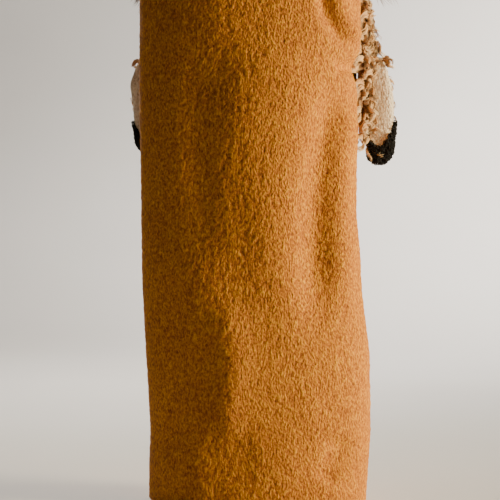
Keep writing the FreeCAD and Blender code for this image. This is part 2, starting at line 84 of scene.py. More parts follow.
def grid_faces(rows, columns, round_it=False):
    """Quads over a grid of corners, row by row; round_it joins the last column to the first."""
    row, column = np.meshgrid(np.arange(rows - 1), np.arange(columns - (not round_it)), indexing="ij")
    a = row * columns + column
    b = row * columns + (column + 1) % columns
    return np.stack([a, b, b + columns, a + columns], -1).reshape(-1, 4)


def grid_of(x, y, z):
    """A grid of corners from three arrays that fit each other's rows and columns."""
    return np.stack(np.broadcast_arrays(x, y, z), -1)


def unit(ways):
    """The same directions, each one long."""
    return ways / np.maximum(np.linalg.norm(ways, axis=-1, keepdims=True), 1e-9)


class Flow:
    """A value in a material's nodes. Arithmetic on it adds Math nodes, and node() adds any other."""

    def __init__(self, tree, socket=None):
        self.tree = tree
        self.socket = socket

    def node(self, kind, settings=None, inputs=None, output=0):
        made = self.tree.nodes.new("ShaderNode" + kind)
        for name, value in (settings or {}).items():
            if name == "stops":
                stops = made.color_ramp.elements
                while len(stops) < len(value):
                    stops.new(0.5)
                for stop, (place, colour) in zip(stops, value):
                    stop.position = place
                    stop.color = (*colour, 1.0)
            else:
                setattr(made, name, value)
        for name, value in (inputs or {}).items():
            if isinstance(value, Flow):
                self.tree.links.new(value.socket, made.inputs[name])
            else:
                made.inputs[name].default_value = value
        return Flow(self.tree, made.outputs[output] if made.outputs else None)

    def texture(self, kind, settings=None, place=None, **inputs):
        """A texture laid over the object where it stands at rest."""
        place = place or self.node("TexCoord", output="Object")
        return self.node("Tex" + kind, settings, {"Vector": place, **inputs})

    def math(self, operation, a, b):
        return self.node("Math", {"operation": operation}, {0: a, 1: b})

    def __add__(self, other):
        return self.math("ADD", self, other)

    def __sub__(self, other):
        return self.math("SUBTRACT", self, other)

    def __mul__(self, other):
        return self.math("MULTIPLY", self, other)

    def between(self, low, high):
        """0 below low and 1 above high."""
        return self.node("MapRange", {}, {"Value": self, "From Min": low, "From Max": high})

    def mixed(self, first, second):
        """The first colour where this is 0, the second where it is 1."""
        first, second = [c if isinstance(c, Flow) else (*c, 1.0) for c in (first, second)]
        return self.node("Mix", {"data_type": "RGBA"}, {0: self, 6: first, 7: second}, 2)


def new_material(name):
    """An empty material and the Flow that adds to it."""
    made = bpy.data.materials.new(name)
    made.use_nodes = True
    made.node_tree.nodes.clear()
    return made, Flow(made.node_tree)


def surface(flow, colour, bump=None, depth=0.0004, **fixed):
    """Ends a material in one Principled shader, with an optional bump from a height."""
    inputs = {"Base Color": colour if isinstance(colour, Flow) else (*colour, 1.0)}
    for name, value in fixed.items():
        inputs[name.replace("_", " ").title().replace("Ior", "IOR")] = value
    if bump is not None:
        inputs["Normal"] = flow.node("Bump", {}, {"Height": bump, "Distance": depth, "Strength": 1.0})
    shader = flow.node("BsdfPrincipled", {}, inputs)
    flow.node("OutputMaterial", {}, {"Surface": shader})


def studio_material():
    made, flow = new_material("studio_paper")
    grain = flow.texture("Noise", Scale=3.0, Detail=2.0)
    surface(flow, grain.mixed((0.56, 0.53, 0.48), (0.62, 0.59, 0.54)), roughness=0.9)
    return made


STUDIO_RADIUS = 3.0
WALL_CURVE = 2.0
WALL_HEIGHT = 3.0
bend = np.linspace(0, math.pi / 2, 13)
curve_r = STUDIO_RADIUS - WALL_CURVE + WALL_CURVE * np.sin(bend)
profile_r = np.concatenate([[0.002, 0.5], curve_r, [STUDIO_RADIUS]])[:, None]
profile_z = np.concatenate([[0.0, 0.0], WALL_CURVE - WALL_CURVE * np.cos(bend), [WALL_HEIGHT]])[:, None]
turn = np.linspace(0, 2 * math.pi, 97)[:-1]
studio_corners = grid_of(profile_r * np.cos(turn), profile_r * np.sin(turn), profile_z)
studio = new_mesh("studio_floor", studio_corners, grid_faces(len(profile_r), len(turn), True))
studio.location.z = cad_box[0][2] - 0.0005
studio.data.materials.append(studio_material())


def lamp(name, place, aim, size, watts, colour, spread=180):
    """A square soft lamp that the camera doesn't see, shining within spread degrees."""
    data = bpy.data.lights.new(name, "AREA")
    data.spread = math.radians(spread)
    data.size = size
    data.energy = watts
    data.color = colour
    made = bpy.data.objects.new(name, data)
    bpy.context.collection.objects.link(made)
    made.location = place
    made.rotation_euler = (Vector(aim) - Vector(place)).to_track_quat("-Z", "Y").to_euler()
    made.visible_camera = False
    return made


lamp("key", (-1.53, 0.25, 0.36), (0, 0, 0.19), 0.50, 7.2, (1.0, 0.86, 0.55), 58)
lamp("face", (0.5, -1.4, 0.7), (0, 0, 0.25), 0.8, 9.0, (1.0, 0.96, 0.90), 75)
lamp("wall", (-0.8, -1.6, 1.5), (-0.25, -2.8, 0.1), 0.9, 52.0, (1.0, 0.965, 0.94), 150)
lamp("floor", (-0.3, -1.3, 1.8), (-0.25, -1.45, 0.0), 0.8, 13.0, (1.0, 0.965, 0.94), 84)
world = bpy.data.worlds.new("studio_air")
bpy.context.scene.world = world
world.use_nodes = True
world.node_tree.nodes["Background"].inputs["Color"].default_value = (0.93, 0.95, 1.0, 1.0)
world.node_tree.nodes["Background"].inputs["Strength"].default_value = 0.01

CAMERA_AROUND = math.radians(8)
CAMERA_AWAY = 1.0
FRAMED = 0.320
SENSOR = 36.0
camera = bpy.data.objects.new("camera", bpy.data.cameras.new("camera"))
bpy.context.collection.objects.link(camera)
camera_x = -math.sin(CAMERA_AROUND) * CAMERA_AWAY
camera_y = math.cos(CAMERA_AROUND) * CAMERA_AWAY
camera.location = (camera_x, camera_y, FRAMED / 2)
camera.rotation_euler = (math.pi / 2, 0, math.pi + CAMERA_AROUND)
camera.data.sensor_width = SENSOR
camera.data.lens = SENSOR * CAMERA_AWAY / FRAMED
camera.data.clip_end = 20
bpy.context.scene.camera = camera


# ---- Sleeve panels ------------------------------------------------------------------------------
# The bag: two panels of short-pile plush, sewn together down the sides with the seams turned in, and
# turned up at the hem.  The cloth hangs in long soft folds and pinches below the right shoulder.
def lumps(place, size, seed):
    """Smooth noise from -1 to 1 at each place, with lumps as wide as size, along x, y and z."""
    at = place / np.asarray(size)
    low = np.floor(at).astype(np.int64)
    part = at - low
    part = part * part * (3 - 2 * part)
    total = np.zeros(at.shape[:-1])
    for corner in np.ndindex(2, 2, 2):
        cell = low + np.array(corner)
        mixed = cell[..., 0] * 73856093 ^ cell[..., 1] * 19349663 ^ cell[..., 2] * 83492791
        mixed = mixed ^ (seed * 7919 + 17)
        mixed = (mixed ^ (mixed >> 13)) * 1274126177
        value = ((mixed ^ (mixed >> 16)) & 0xFFFF) / 32767.5 - 1
        total += np.prod(np.where(corner, part, 1 - part), axis=-1) * value
    return total


def soft(low, high, value):
    """0 at low and 1 at high, with no corner at either."""
    share = np.clip((value - low) / (high - low), 0, 1)
    return share * share * (3 - 2 * share)


def normals_of(grid):
    """Unit normals of a grid of corners, rows by columns."""
    across = np.cross(np.gradient(grid, axis=0), np.gradient(grid, axis=1))
    return across / np.maximum(np.linalg.norm(across, axis=-1, keepdims=True), 1e-12)


PILE_DEPTH = 0.00075


def pile_height(place, seed, along=(0.0012, 0.0012, 0.0019)):
    """Height of brushed plush from 0 to 1: short tufts that lie downwards, swept this way and that."""
    sweep = np.stack([lumps(place, (0.016,) * 3, seed + k) for k in range(3)], -1)
    tufts = lumps(place + 0.0026 * sweep, along, seed + 5)
    fine = lumps(place + 0.0016 * sweep, np.array(along) * 0.55, seed + 6)
    return np.clip(0.5 + 0.42 * tufts + 0.26 * fine, 0, 1)


def keep_value(made, label, value):
    """Stores one value for each corner on the mesh, where its material reads it."""
    kept = made.data.attributes.new(label, "FLOAT", "POINT")
    kept.data.foreach_set("value", value.astype(np.float32).ravel())


def put_on(made, stuff, body, slot, *stands_for):
    """Gives a piece its material, the body it moves with and the solids it stands for; its slot is not used."""
    made.data.materials.append(stuff)
    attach(made, body)
    if stands_for:
        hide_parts(*stands_for)


def plush_material(name, deep, middle, tip, sheen, tint):
    """Short-pile plush: painted shade darkens the hollows between the tufts and painted light brightens their
    tips, with a soft sheen.
    """
    made, flow = new_material(name)
    place = flow.node("TexCoord", output="Object")
    height = flow.node("Attribute", {"attribute_name": "pile"}, output=2)
    long = flow.node("VectorMath", {"operation": "MULTIPLY"}, {0: place, 1: (1.0, 1.0, 0.62)})
    fibre = flow.texture("Noise", place=long, Scale=860.0, Detail=3.0).between(0.30, 0.70)
    stroke = flow.texture("Noise", Scale=42.0, Detail=3.0, Distortion=0.6)
    # The ramp runs from painted shade where the pile is low to painted light on the high tufts, with random
    # fibre and stroke tone mixed in.
    shade = height * 0.26 + fibre * 0.50 + stroke * 0.10 + 0.07
    colour = flow.node("ValToRGB", {"stops": [(0.12, deep), (0.48, middle), (0.90, tip)]}, {"Fac": shade})
    surface(flow, colour, fibre, 0.0007, roughness=0.88, sheen_weight=sheen, sheen_roughness=0.42,
            sheen_tint=(*tint, 1.0), specular_ior_level=0.12)
    return made


back_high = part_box("sleeve_back_panel")[1]
BAG_HALF = back_high[0]
BAG_DEPTH = back_high[1]
BAG_TOP = back_high[2]
BAG_SQUARENESS = 2.25       # 2 is an ellipse, and more is nearer to a box
HEM_ROLL = 0.0023
SEAM_DIP = 0.0017
SEAM_WIDTH = 0.0024


def bag_outline(share):
    """Where the bag's wall runs, from the left seam round to the right one, as share goes 0 to 1."""
    bend = np.linspace(0, math.pi, 241)
    x = BAG_HALF * np.sign(np.cos(bend)) * np.abs(np.cos(bend)) ** (2 / BAG_SQUARENESS)
    y = BAG_DEPTH * np.abs(np.sin(bend)) ** (2 / BAG_SQUARENESS)
    run = np.concatenate([[0], np.cumsum(np.hypot(np.diff(x), np.diff(y)))])
    return np.interp(share * run[-1], run, x), np.interp(share * run[-1], run, y), run[-1]


# How far each edge hangs from the middle, from the hem up: height, left edge, right edge.
EDGES = np.array([
    (0.000, 0.0640, 0.0735),
    (0.045, 0.0640, 0.0765),
    (0.095, 0.0672, 0.0762),
    (0.130, 0.0690, 0.0712),
    (0.185, 0.0694, 0.0668),
    (0.235, 0.0700, 0.0684),
    (0.268, 0.0704, 0.0678),
    (0.276, 0.0704, 0.0610),
    (0.284, 0.0704, 0.0702),
    (0.334, 0.0702, 0.0700),
])


def smooth_through(z, column):
    """A smooth curve through one column of EDGES."""
    total = np.zeros_like(z)
    weight = np.zeros_like(z)
    for offset in np.linspace(-0.012, 0.012, 9):
        near = math.exp(-((offset / 0.006) ** 2))
        total += near * np.interp(z + offset, EDGES[:, 0], EDGES[:, column])
        weight += near
    return total / weight


# The board behind the mouth keeps the front panel flat from here up and this far out.
BOARD_FOOT, BOARD_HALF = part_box("mouth_board_lower")[0][2] - 0.008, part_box("mouth_board_lower")[1][0] + 0.006

# Folds of the cloth: which side, their line from end to end as (x, z), half width, and height.
FOLDS = [
    (1, [(-0.072, 0.262), (-0.064, 0.225), (-0.061, 0.180), (-0.066, 0.120)], 0.0080, 0.0040),
    (1, [(-0.066, 0.272), (-0.054, 0.240), (-0.047, 0.200), (-0.045, 0.155), (-0.050, 0.095)], 0.0120, -0.0070),
    (1, [(-0.046, 0.332), (-0.052, 0.305), (-0.066, 0.284)], 0.0040, -0.0030),
    (1, [(-0.056, 0.330), (-0.062, 0.303), (-0.069, 0.290)], 0.0050, 0.0030),
    (1, [(-0.069, 0.277), (-0.056, 0.272)], 0.0040, -0.0030),
    (1, [(0.008, 0.132), (0.006, 0.090), (0.009, 0.036)], 0.0120, 0.0022),
    (1, [(0.030, 0.300), (0.022, 0.210), (0.030, 0.140)], 0.0200, -0.0022),
    (1, [(-0.062, 0.046), (-0.057, 0.030), (-0.050, 0.014)], 0.0080, -0.0030),
    (1, [(0.052, 0.150), (0.046, 0.080), (0.050, 0.020)], 0.0120, -0.0024),
    (-1, [(0.050, 0.210), (0.030, 0.160), (0.036, 0.080), (0.030, 0.010)], 0.0110, 0.0034),
    (-1, [(-0.044, 0.215), (-0.030, 0.150), (-0.034, 0.070)], 0.0100, 0.0034),
    (-1, [(0.004, 0.190), (-0.006, 0.110), (0.002, 0.030)], 0.0130, -0.0030),
    (-1, [(0.056, 0.120), (0.040, 0.104), (0.014, 0.098)], 0.0050, -0.0026),
    (-1, [(-0.058, 0.232), (-0.046, 0.222), (-0.030, 0.216)], 0.0050, -0.0026),
]


def near_line(x, z, line):
    """Distance from each place to a line of points, and the share of the way along it."""
    best = np.full(x.shape, 1e9)
    along = np.zeros(x.shape)
    for k in range(len(line) - 1):
        (x0, z0), (x1, z1) = line[k], line[k + 1]
        run = np.array([x1 - x0, z1 - z0])
        share = np.clip(((x - x0) * run[0] + (z - z0) * run[1]) / (run @ run), 0, 1)
        away = np.hypot(x - x0 - share * run[0], z - z0 - share * run[1])
        nearer = away < best
        best = np.where(nearer, away, best)
        along = np.where(nearer, (k + share) / (len(line) - 1), along)
    return best, along


def hang(grid, side):
    """The bag's wall as it hangs: edges drawn to their places, folds raised and hollows sunk."""
    x, y, z = grid[..., 0], grid[..., 1], grid[..., 2]
    left = smooth_through(z, 1) / BAG_HALF
    right = smooth_through(z, 2) / BAG_HALF
    lean = soft(-0.020, 0.020, x)
    grid = np.stack([x * (lean * left + (1 - lean) * right), y, z], -1)
    rise = 0.0008 * lumps(grid, (0.034, 0.034, 0.075), 3) + 0.0006 * lumps(grid, (0.014, 0.014, 0.030), 4)
    for which, line, width, height in FOLDS:
        away, along = near_line(grid[..., 0], z, line)
        ends = soft(0, 0.22, along) * soft(0, 0.22, 1 - along)
        rise += (which == side) * height * np.exp(-((away / width) ** 2)) * ends
    rise *= soft(BAG_TOP, BAG_TOP - 0.020, z) * soft(0, 0.009, np.abs(y))
    if side < 0:
        board = soft(BOARD_FOOT - 0.022, BOARD_FOOT, z) * soft(BOARD_HALF + 0.012, BOARD_HALF, np.abs(x))
        rise *= 1 - board
        grid = grid - np.stack([0 * x, board * (BAG_DEPTH - np.abs(y)), 0 * x], -1)
    return grid + normals_of(grid) * side * rise[..., None]


def sleeve_panel(name, side, spacing):
    """One panel: rows from the shoulder down, round the turned hem and up inside it."""
    columns = int(0.192 / spacing)
    z = np.linspace(BAG_TOP, HEM_ROLL, int(BAG_TOP / spacing))
    x, y, length = bag_outline(np.linspace(0, 1, columns))
    grid = hang(grid_of(x, y * side, z[:, None]), side)
    outward = normals_of(grid) * side
    bend = np.linspace(0, math.pi, 9)[1:]
    rolled = np.repeat(grid[-1:], 8, 0)
    rolled[..., 2] = (HEM_ROLL * (1 - np.sin(bend)))[:, None]
    inset = np.concatenate([np.zeros(len(z)), HEM_ROLL * (1 - np.cos(bend))])
    outward = np.concatenate([outward, np.repeat(outward[-1:], 8, 0)])
    grid = np.concatenate([grid, rolled])
    z = np.concatenate([z, rolled[:, 0, 2]])
    seam = np.minimum(np.linspace(0, length, columns), np.linspace(length, 0, columns))
    dip = SEAM_DIP * np.exp(-((seam / SEAM_WIDTH) ** 2))
    top = SEAM_DIP * np.exp(-(((BAG_TOP - z) / SEAM_WIDTH) ** 2))
    height = pile_height(grid, 11)
    rise = height * PILE_DEPTH - inset[:, None] - np.maximum(dip, top[:, None])
    grid = grid + outward * rise[..., None]
    faces = grid_faces(*grid.shape[:2])
    made = new_mesh(name, grid, faces[:, ::-1] if side > 0 else faces)
    keep_value(made, "pile", height)
    return made


# The deep gold is painted shade between the tufts and the tip gold is painted light on them; the middle gold is
# the plush's own colour.
GOLD_HOLLOW_SHADE = (0.180, 0.047, 0.0200)
GOLD = (0.550, 0.190, 0.0300)
GOLD_TIP_LIGHT = (0.920, 0.440, 0.0320)
gold_plush = plush_material("gold_plush", GOLD_HOLLOW_SHADE, GOLD, GOLD_TIP_LIGHT, 0.08, (1.0, 0.62, 0.20))
PANEL_SPACING = 0.0011
for side, label in ((1, "back"), (-1, "front")):
    panel = sleeve_panel(f"sleeve_{label}", side, PANEL_SPACING)
    put_on(panel, gold_plush, "sleeve", "sleeve_plush", f"sleeve_{label}_panel")


# ---- Sleeve lining, hem band and care label -----------------------------------------------------
# A brown knitted tube inside the bag, stitched to the plush that is turned up at the hem, with a
# blank folded tape sewn into the back of it.
def bag_ring(z, inset, columns=180):
    """The hung wall all the way round at these heights, drawn in by inset."""
    sides = []
    for side in (1, -1):
        x, y, _ = bag_outline(np.linspace(0, 1, columns))
        grid = hang(grid_of(x, y * side, z[:, None]), side)
        grid = grid - normals_of(grid) * side * inset
        sides.append(grid[:, :-1] if side > 0 else grid[:, :0:-1])
    return np.concatenate(sides, 1)


def knit_material(name, dark, light):
    """Fine knitted cloth: rows of small stitches."""
    made, flow = new_material(name)
    rows = flow.texture("Wave", {"bands_direction": "Z"}, Scale=340.0, Distortion=1.2)
    columns = flow.texture("Wave", {"bands_direction": "X"}, Scale=300.0, Distortion=1.2)
    uneven = flow.texture("Noise", Scale=60.0, Detail=3.0)
    stitch = rows * 0.5 + columns * 0.5
    surface(flow, (stitch * 0.6 + uneven * 0.4).mixed(dark, light), stitch, 0.0003, roughness=0.85,
            sheen_weight=0.2, specular_ior_level=0.15)
    return made


HEM_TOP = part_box("hem_band")[1][2]
LINING_INSET = 0.0036
lining_z = np.linspace(BAG_TOP, HEM_TOP - 0.003, 90)
lining_grid = bag_ring(lining_z, LINING_INSET)
board_low, board_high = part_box("mouth_board_lower")
over_board = (
    soft(board_low[2] - 0.010, board_low[2] - 0.002, lining_grid[..., 2])
    * soft(board_high[0] + 0.008, board_high[0] + 0.001, np.abs(lining_grid[..., 0]))
    * (lining_grid[..., 1] < 0)
)
lining_grid[..., 1] += over_board * np.maximum(board_high[1] + 0.001 - lining_grid[..., 1], 0)
lining = new_mesh("sleeve_lining_cloth", lining_grid, grid_faces(*lining_grid.shape[:2], True))
brown_knit = knit_material("brown_knit", (0.150, 0.070, 0.026), (0.340, 0.180, 0.075))
put_on(lining, brown_knit, "sleeve", "lining_cloth", "sleeve_lining")

hem_z = np.linspace(HEM_TOP, HEM_ROLL * 0.9, 12)
hem_grid = bag_ring(hem_z, 2 * HEM_ROLL + 0.0001)
hem_height = pile_height(hem_grid, 29)
hem = new_mesh("hem_turned", hem_grid, grid_faces(*hem_grid.shape[:2], True))
keep_value(hem, "pile", hem_height)
put_on(hem, gold_plush, "sleeve", "sleeve_plush", "hem_band")

STITCH = 0.0046
THREAD = 0.00032


def twisted_thread(name, dark, light, scale, depth, roughness):
    """Thread or yarn, with its twist running round it."""
    made, flow = new_material(name)
    twist = flow.texture("Wave", {"bands_direction": "DIAGONAL"}, Scale=scale)
    surface(flow, twist.mixed(dark, light), twist, depth, roughness=roughness)
    return made


def lengths_along(path):
    """How far each point of a path is from its start, along it."""
    return np.concatenate([[0], np.cumsum(np.linalg.norm(np.diff(path, axis=0), axis=1))])


def stitches(name, path, outward, thread, gap):
    """A row of short thread stitches along a path, each a small arch that dives at both ends."""
    run = lengths_along(path)
    count = max(2, int(run[-1] / STITCH))
    bend = np.linspace(0, math.pi, 7)
    around = np.linspace(0, 2 * math.pi, 6)[:-1]
    corners, faces = [], []
    for k in range(count):
        at = (k + 0.5 - 0.5 * (1 - gap) * np.cos(bend)) * STITCH * run[-1] / (count * STITCH)
        middle = np.stack([np.interp(at, run, path[:, j]) for j in range(3)], 1)
        out = np.stack([np.interp(at, run, outward[:, j]) for j in range(3)], 1)
        middle = middle + out * (np.sin(bend) * 1.6 - 0.6)[:, None] * thread
        along = np.gradient(middle, axis=0)
        along /= np.linalg.norm(along, axis=1, keepdims=True)
        side = np.cross(along, out)
        circle = np.cos(around)[:, None] * out[:, None] + np.sin(around)[:, None] * side[:, None]
        ring = middle[:, None] + thread * circle
        base = len(corners) * ring.shape[0] * ring.shape[1]
        corners.append(ring.reshape(-1, 3))
        faces.append(grid_faces(len(bend), len(around), True) + base)
    return new_mesh(name, np.concatenate(corners), np.concatenate(faces))


sewn = bag_ring(np.array([HEM_TOP - 0.0026, HEM_TOP - 0.0028]), 2 * HEM_ROLL + 0.0002)[0]
inward = unit(-sewn * np.array([1.0, 1.0, 0.0]))
hem_stitches = stitches("hem_stitches", sewn, inward, THREAD, 0.30)
sewing_thread = twisted_thread("sewing_thread", (0.16, 0.075, 0.02), (0.36, 0.19, 0.06), 900.0, 0.0001, 0.55)
put_on(hem_stitches, sewing_thread, "sleeve", "sleeve_plush")

label_low, label_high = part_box("care_label")
LABEL_CURL = 0.004
label_z = np.linspace(label_high[2], label_low[2], 24)
label_x = np.linspace(label_low[0], label_high[0], 14)
label_y = bag_ring(label_z, 0.0045)[:, 90, 1]
curl = LABEL_CURL * soft(label_high[2], label_low[2], label_z) ** 2
label_grid = grid_of(label_x, (label_y - curl)[:, None], label_z[:, None])
label_grid[..., 1] -= 0.0006 * np.cos(label_x / label_high[0] * math.pi / 2)
label = new_mesh("care_tape", label_grid, grid_faces(24, 14))
label_stuff, flow = new_material("satin_tape")
ribs = flow.texture("Wave", {"bands_direction": "Z"}, Scale=700.0)
surface(flow, ribs.mixed((0.72, 0.71, 0.67), (0.86, 0.85, 0.80)), ribs, 0.0001, roughness=0.35)
put_on(label, label_stuff, "sleeve", "label_tape", "care_label")


# ---- Crown --------------------------------------------------------------------------------------
# The plush roof over the knuckles: a hood that rises from the shoulder seam, open to the front,
# where the head flap turns under its edge.  It has a knitted lining and a small gusset at each
# front corner.
CROWN_FRONT, CROWN_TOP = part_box("crown_panel")[0][1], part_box("crown_panel")[1][2]


def crown_grid(rows, columns, inset):
    """The hood from its front edge on the left, round the back, to its front edge on the right."""
    x, y, length = bag_outline(np.linspace(0, 1, columns))
    straight = np.linspace(CROWN_FRONT, 0, max(4, int(columns * -CROWN_FRONT / length)))[:-1]
    x = np.concatenate([np.full(len(straight), x[0]), x, np.full(len(straight), x[-1])])
    y = np.concatenate([straight, y, straight[::-1]])
    rise = np.linspace(0, math.pi / 2, rows)[:, None]
    wide, deep, tall = np.cos(rise) ** 0.22, np.cos(rise) ** 0.70, np.sin(rise) ** 0.42
    return grid_of(
        x * wide * (1 - inset / BAG_HALF),
        CROWN_FRONT + (y - CROWN_FRONT) * deep * (1 - inset / (BAG_DEPTH - CROWN_FRONT)),
        BAG_TOP + (CROWN_TOP - BAG_TOP) * tall * (1 - inset / (CROWN_TOP - BAG_TOP)),
    )


crown_wall = crown_grid(74, 170, 0.0)
outward = -normals_of(crown_wall)
crown_height = pile_height(crown_wall, 37)
crown_seam = SEAM_DIP * np.exp(-(((crown_wall[..., 2] - BAG_TOP) / SEAM_WIDTH) ** 2))
crown_rise = crown_height * PILE_DEPTH - crown_seam + 0.0012 * lumps(crown_wall, (0.03,) * 3, 5)
crown_wall = crown_wall + outward * crown_rise[..., None]
crown = new_mesh("crown_hood", crown_wall, grid_faces(*crown_wall.shape[:2]))
keep_value(crown, "pile", crown_height)
put_on(crown, gold_plush, "sleeve", "sleeve_plush", "crown_panel")

crown_inside = crown_grid(40, 90, 0.0030)
crown_cloth = new_mesh("crown_lining_cloth", crown_inside, grid_faces(*crown_inside.shape[:2])[:, ::-1])
put_on(crown_cloth, brown_knit, "sleeve", "lining_cloth", "crown_lining")

# A gusset at each front corner of the crown closes the step from the bag's rounded front to the
# crown's straight side and ends.
GUSSET_IN = 0.040
outline_x, outline_y, _ = bag_outline(np.linspace(0, 0.5, 400))
reach = outline_x > GUSSET_IN
inner_x, inner_y = outline_x[reach], -outline_y[reach]
inner = np.linspace(0, len(inner_x) - 1, 48)
inner_x, inner_y = [np.interp(inner, np.arange(len(inner_x)), v) for v in (inner_x, inner_y)]
corner_run = np.array([(BAG_HALF, 0.0), (BAG_HALF, CROWN_FRONT), (GUSSET_IN, CROWN_FRONT)])
corner_at = lengths_along(corner_run)
outer = np.linspace(0, corner_at[-1], 48)
outer_x, outer_y = [np.interp(outer, corner_at, corner_run[:, k]) for k in (0, 1)]
share = np.linspace(0, 1, 9)[:, None]
gusset_z = BAG_TOP - 0.0012 + 0.0022 * np.sin(share * math.pi) + 0.0012 * share
gusset_grid = grid_of(inner_x + (outer_x - inner_x) * share, inner_y + (outer_y - inner_y) * share, gusset_z)
for side, label in ((1, "left"), (-1, "right")):
    shaped = gusset_grid * np.array([side, 1, 1])
    gusset = new_mesh(f"crown_gusset_{label}", shaped, grid_faces(9, 48))
    keep_value(gusset, "pile", pile_height(shaped, 41))
    put_on(gusset, gold_plush, "sleeve", "sleeve_plush")


# ---- Head flap ----------------------------------------------------------------------------------
# The bag's folded end made into a face: a stuffed pad of the same plush with the finger pocket
# behind it.  Its back stays flat against the felt that lines the mouth.
def places(made):
    """Every corner of a mesh object."""
    found = np.empty(len(made.data.vertices) * 3, np.float32)
    made.data.vertices.foreach_get("co", found)
    return found.reshape(-1, 3).astype(float)


def normals(made):
    """The outward direction at every corner of a mesh object."""
    found = np.empty(len(made.data.vertices) * 3, np.float32)
    made.data.vertex_normals.foreach_get("vector", found)
    return found.reshape(-1, 3).astype(float)


def settle(made):
    """Makes what the modifiers show into the object's own mesh."""
    shown = made.evaluated_get(bpy.context.evaluated_depsgraph_get())
    made.data = bpy.data.meshes.new_from_object(shown)
    made.modifiers.clear()


def move_corners(made, corners):
    made.data.vertices.foreach_set("co", corners.astype(np.float32).ravel())
    made.data.update()


BLOWING = 4.0
BLOWN_BY = 20


def stuffed(name, nodes, draw_in, cell, most, finer=2):
    """The nodes' outer shape drawn in, cut into even cells and blown out by a cloth simulation."""
    shell = bmesh.new()
    for node in nodes:
        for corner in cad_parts[node].data.vertices:
            shell.verts.new(corner.co)
    hull = bmesh.ops.convex_hull(shell, input=shell.verts)
    spare = {v for v in hull["geom_interior"] + hull["geom_unused"] if isinstance(v, bmesh.types.BMVert)}
    bmesh.ops.delete(shell, geom=list(spare), context="VERTS")
    bmesh.ops.recalc_face_normals(shell, faces=shell.faces)
    mesh = bpy.data.meshes.new(name)
    shell.to_mesh(mesh)
    shell.free()
    made = bpy.data.objects.new(name, mesh)
    bpy.context.collection.objects.link(made)
    corners = places(made)
    low, high = corners.min(0), corners.max(0)
    middle = (low + high) / 2
    move_corners(made, middle + (corners - middle) * (1 - 2 * draw_in / (high - low)))
    even = made.modifiers.new("even", "REMESH")
    even.mode = "VOXEL"
    even.voxel_size = cell
    settle(made)
    still = places(made)
    cloth = made.modifiers.new("cloth", "CLOTH")
    cloth.settings.use_pressure = True
    cloth.settings.uniform_pressure_force = BLOWING
    cloth.settings.effector_weights.gravity = 0
    cloth.point_cache.frame_start = 1
    cloth.point_cache.frame_end = BLOWN_BY
    for moment in range(1, BLOWN_BY + 1):
        bpy.context.scene.frame_set(moment)
    settle(made)
    bpy.context.scene.frame_set(1)
    moved = places(made) - still
    far = np.linalg.norm(moved, axis=1, keepdims=True)
    move_corners(made, still + moved * np.minimum(1, most / np.maximum(far, 1e-9)))
    smoother = made.modifiers.new("smoother", "SUBSURF")
    smoother.levels = finer
    settle(made)
    made.data.polygons.foreach_set("use_smooth", np.ones(len(made.data.polygons), bool))
    return made


def nap(made, depth, seed, along=(0.0013, 0.0013, 0.0024)):
    """Brushed pile over a pad."""
    height = pile_height(places(made), seed, along)
    move_corners(made, places(made) + normals(made) * (depth * (height - 0.4))[:, None])
    keep_value(made, "pile", height)


def dent(corners, outward, centre, size, depth):
    """Corners pressed in, or raised where depth is negative, round one place."""
    away = np.linalg.norm((corners - np.array(centre)) / np.array(size), axis=1)
    return corners - outward * (depth * np.exp(-away ** 2))[:, None]


head_low, head_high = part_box("head_skin")
fold_low, fold_high = [np.array(v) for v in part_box("fold_seam_roll")]
FOLD_Y, FOLD_Z = ((fold_low + fold_high) / 2)[1:]
BROW_ROUNDING = 0.20
BROW_RADIUS = head_high[2] - FOLD_Z - 0.0012    # the top turns under the crown on a part of a circle
EYE_X, EYE_Z = 0.027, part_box("eye_left")[0][2] / 2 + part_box("eye_left")[1][2] / 2
FELT_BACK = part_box("mouth_lining_upper")[1][1]
HEAD_BACK = FELT_BACK - 0.0016
MUZZLE_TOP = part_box("muzzle_skin")[1][2]
head = stuffed("head_pad", ["head_skin"], 0.0030, 0.0050, 0.0036)
corners, outward = places(head), normals(head)
for side in (1, -1):
    cheek = (side * 0.046, head_low[1], EYE_Z - 0.038)
    corners = dent(corners, outward, (side * EYE_X, head_low[1], EYE_Z), (0.013, 0.02, 0.013), 0.0020)
    corners = dent(corners, outward, cheek, (0.020, 0.03, 0.022), -0.0030)
corners = dent(corners, outward, (0, head_low[1], EYE_Z + 0.014), (0.010, 0.02, 0.030), 0.0012)
corners = dent(corners, outward, (0, head_low[1], MUZZLE_TOP + 0.002), (0.034, 0.02, 0.008), 0.0014)
flat_back = soft(0.336, 0.328, corners[:, 2])
corners[:, 1] += np.minimum(HEAD_BACK - corners[:, 1], 0) * flat_back
corners[:, 1] = np.minimum(corners[:, 1], FELT_BACK - 0.0004)
from_fold = np.hypot(corners[:, 1] - FOLD_Y, corners[:, 2] - FOLD_Z)
too_far = (corners[:, 2] > FOLD_Z) & (from_fold > BROW_RADIUS)
shrink = np.where(too_far, BROW_RADIUS / np.maximum(from_fold, 1e-9), 1)
corners[:, 1] = FOLD_Y + (corners[:, 1] - FOLD_Y) * shrink
corners[:, 2] = FOLD_Z + (corners[:, 2] - FOLD_Z) * shrink
brow = soft(0.62, 1.0, np.minimum(from_fold, BROW_RADIUS) / BROW_RADIUS) * (corners[:, 2] > FOLD_Z)
corners[:, 0] *= 1 - BROW_ROUNDING * brow * np.abs(corners[:, 0] / head_high[0]) ** 6
corners[:, 0] = np.clip(corners[:, 0], head_low[0] - 0.0004, head_high[0] + 0.0004)
move_corners(head, corners)
nap(head, 0.0010, 51)
put_on(head, gold_plush, "head_flap", "head_plush", "head_skin", "head_stuffing")

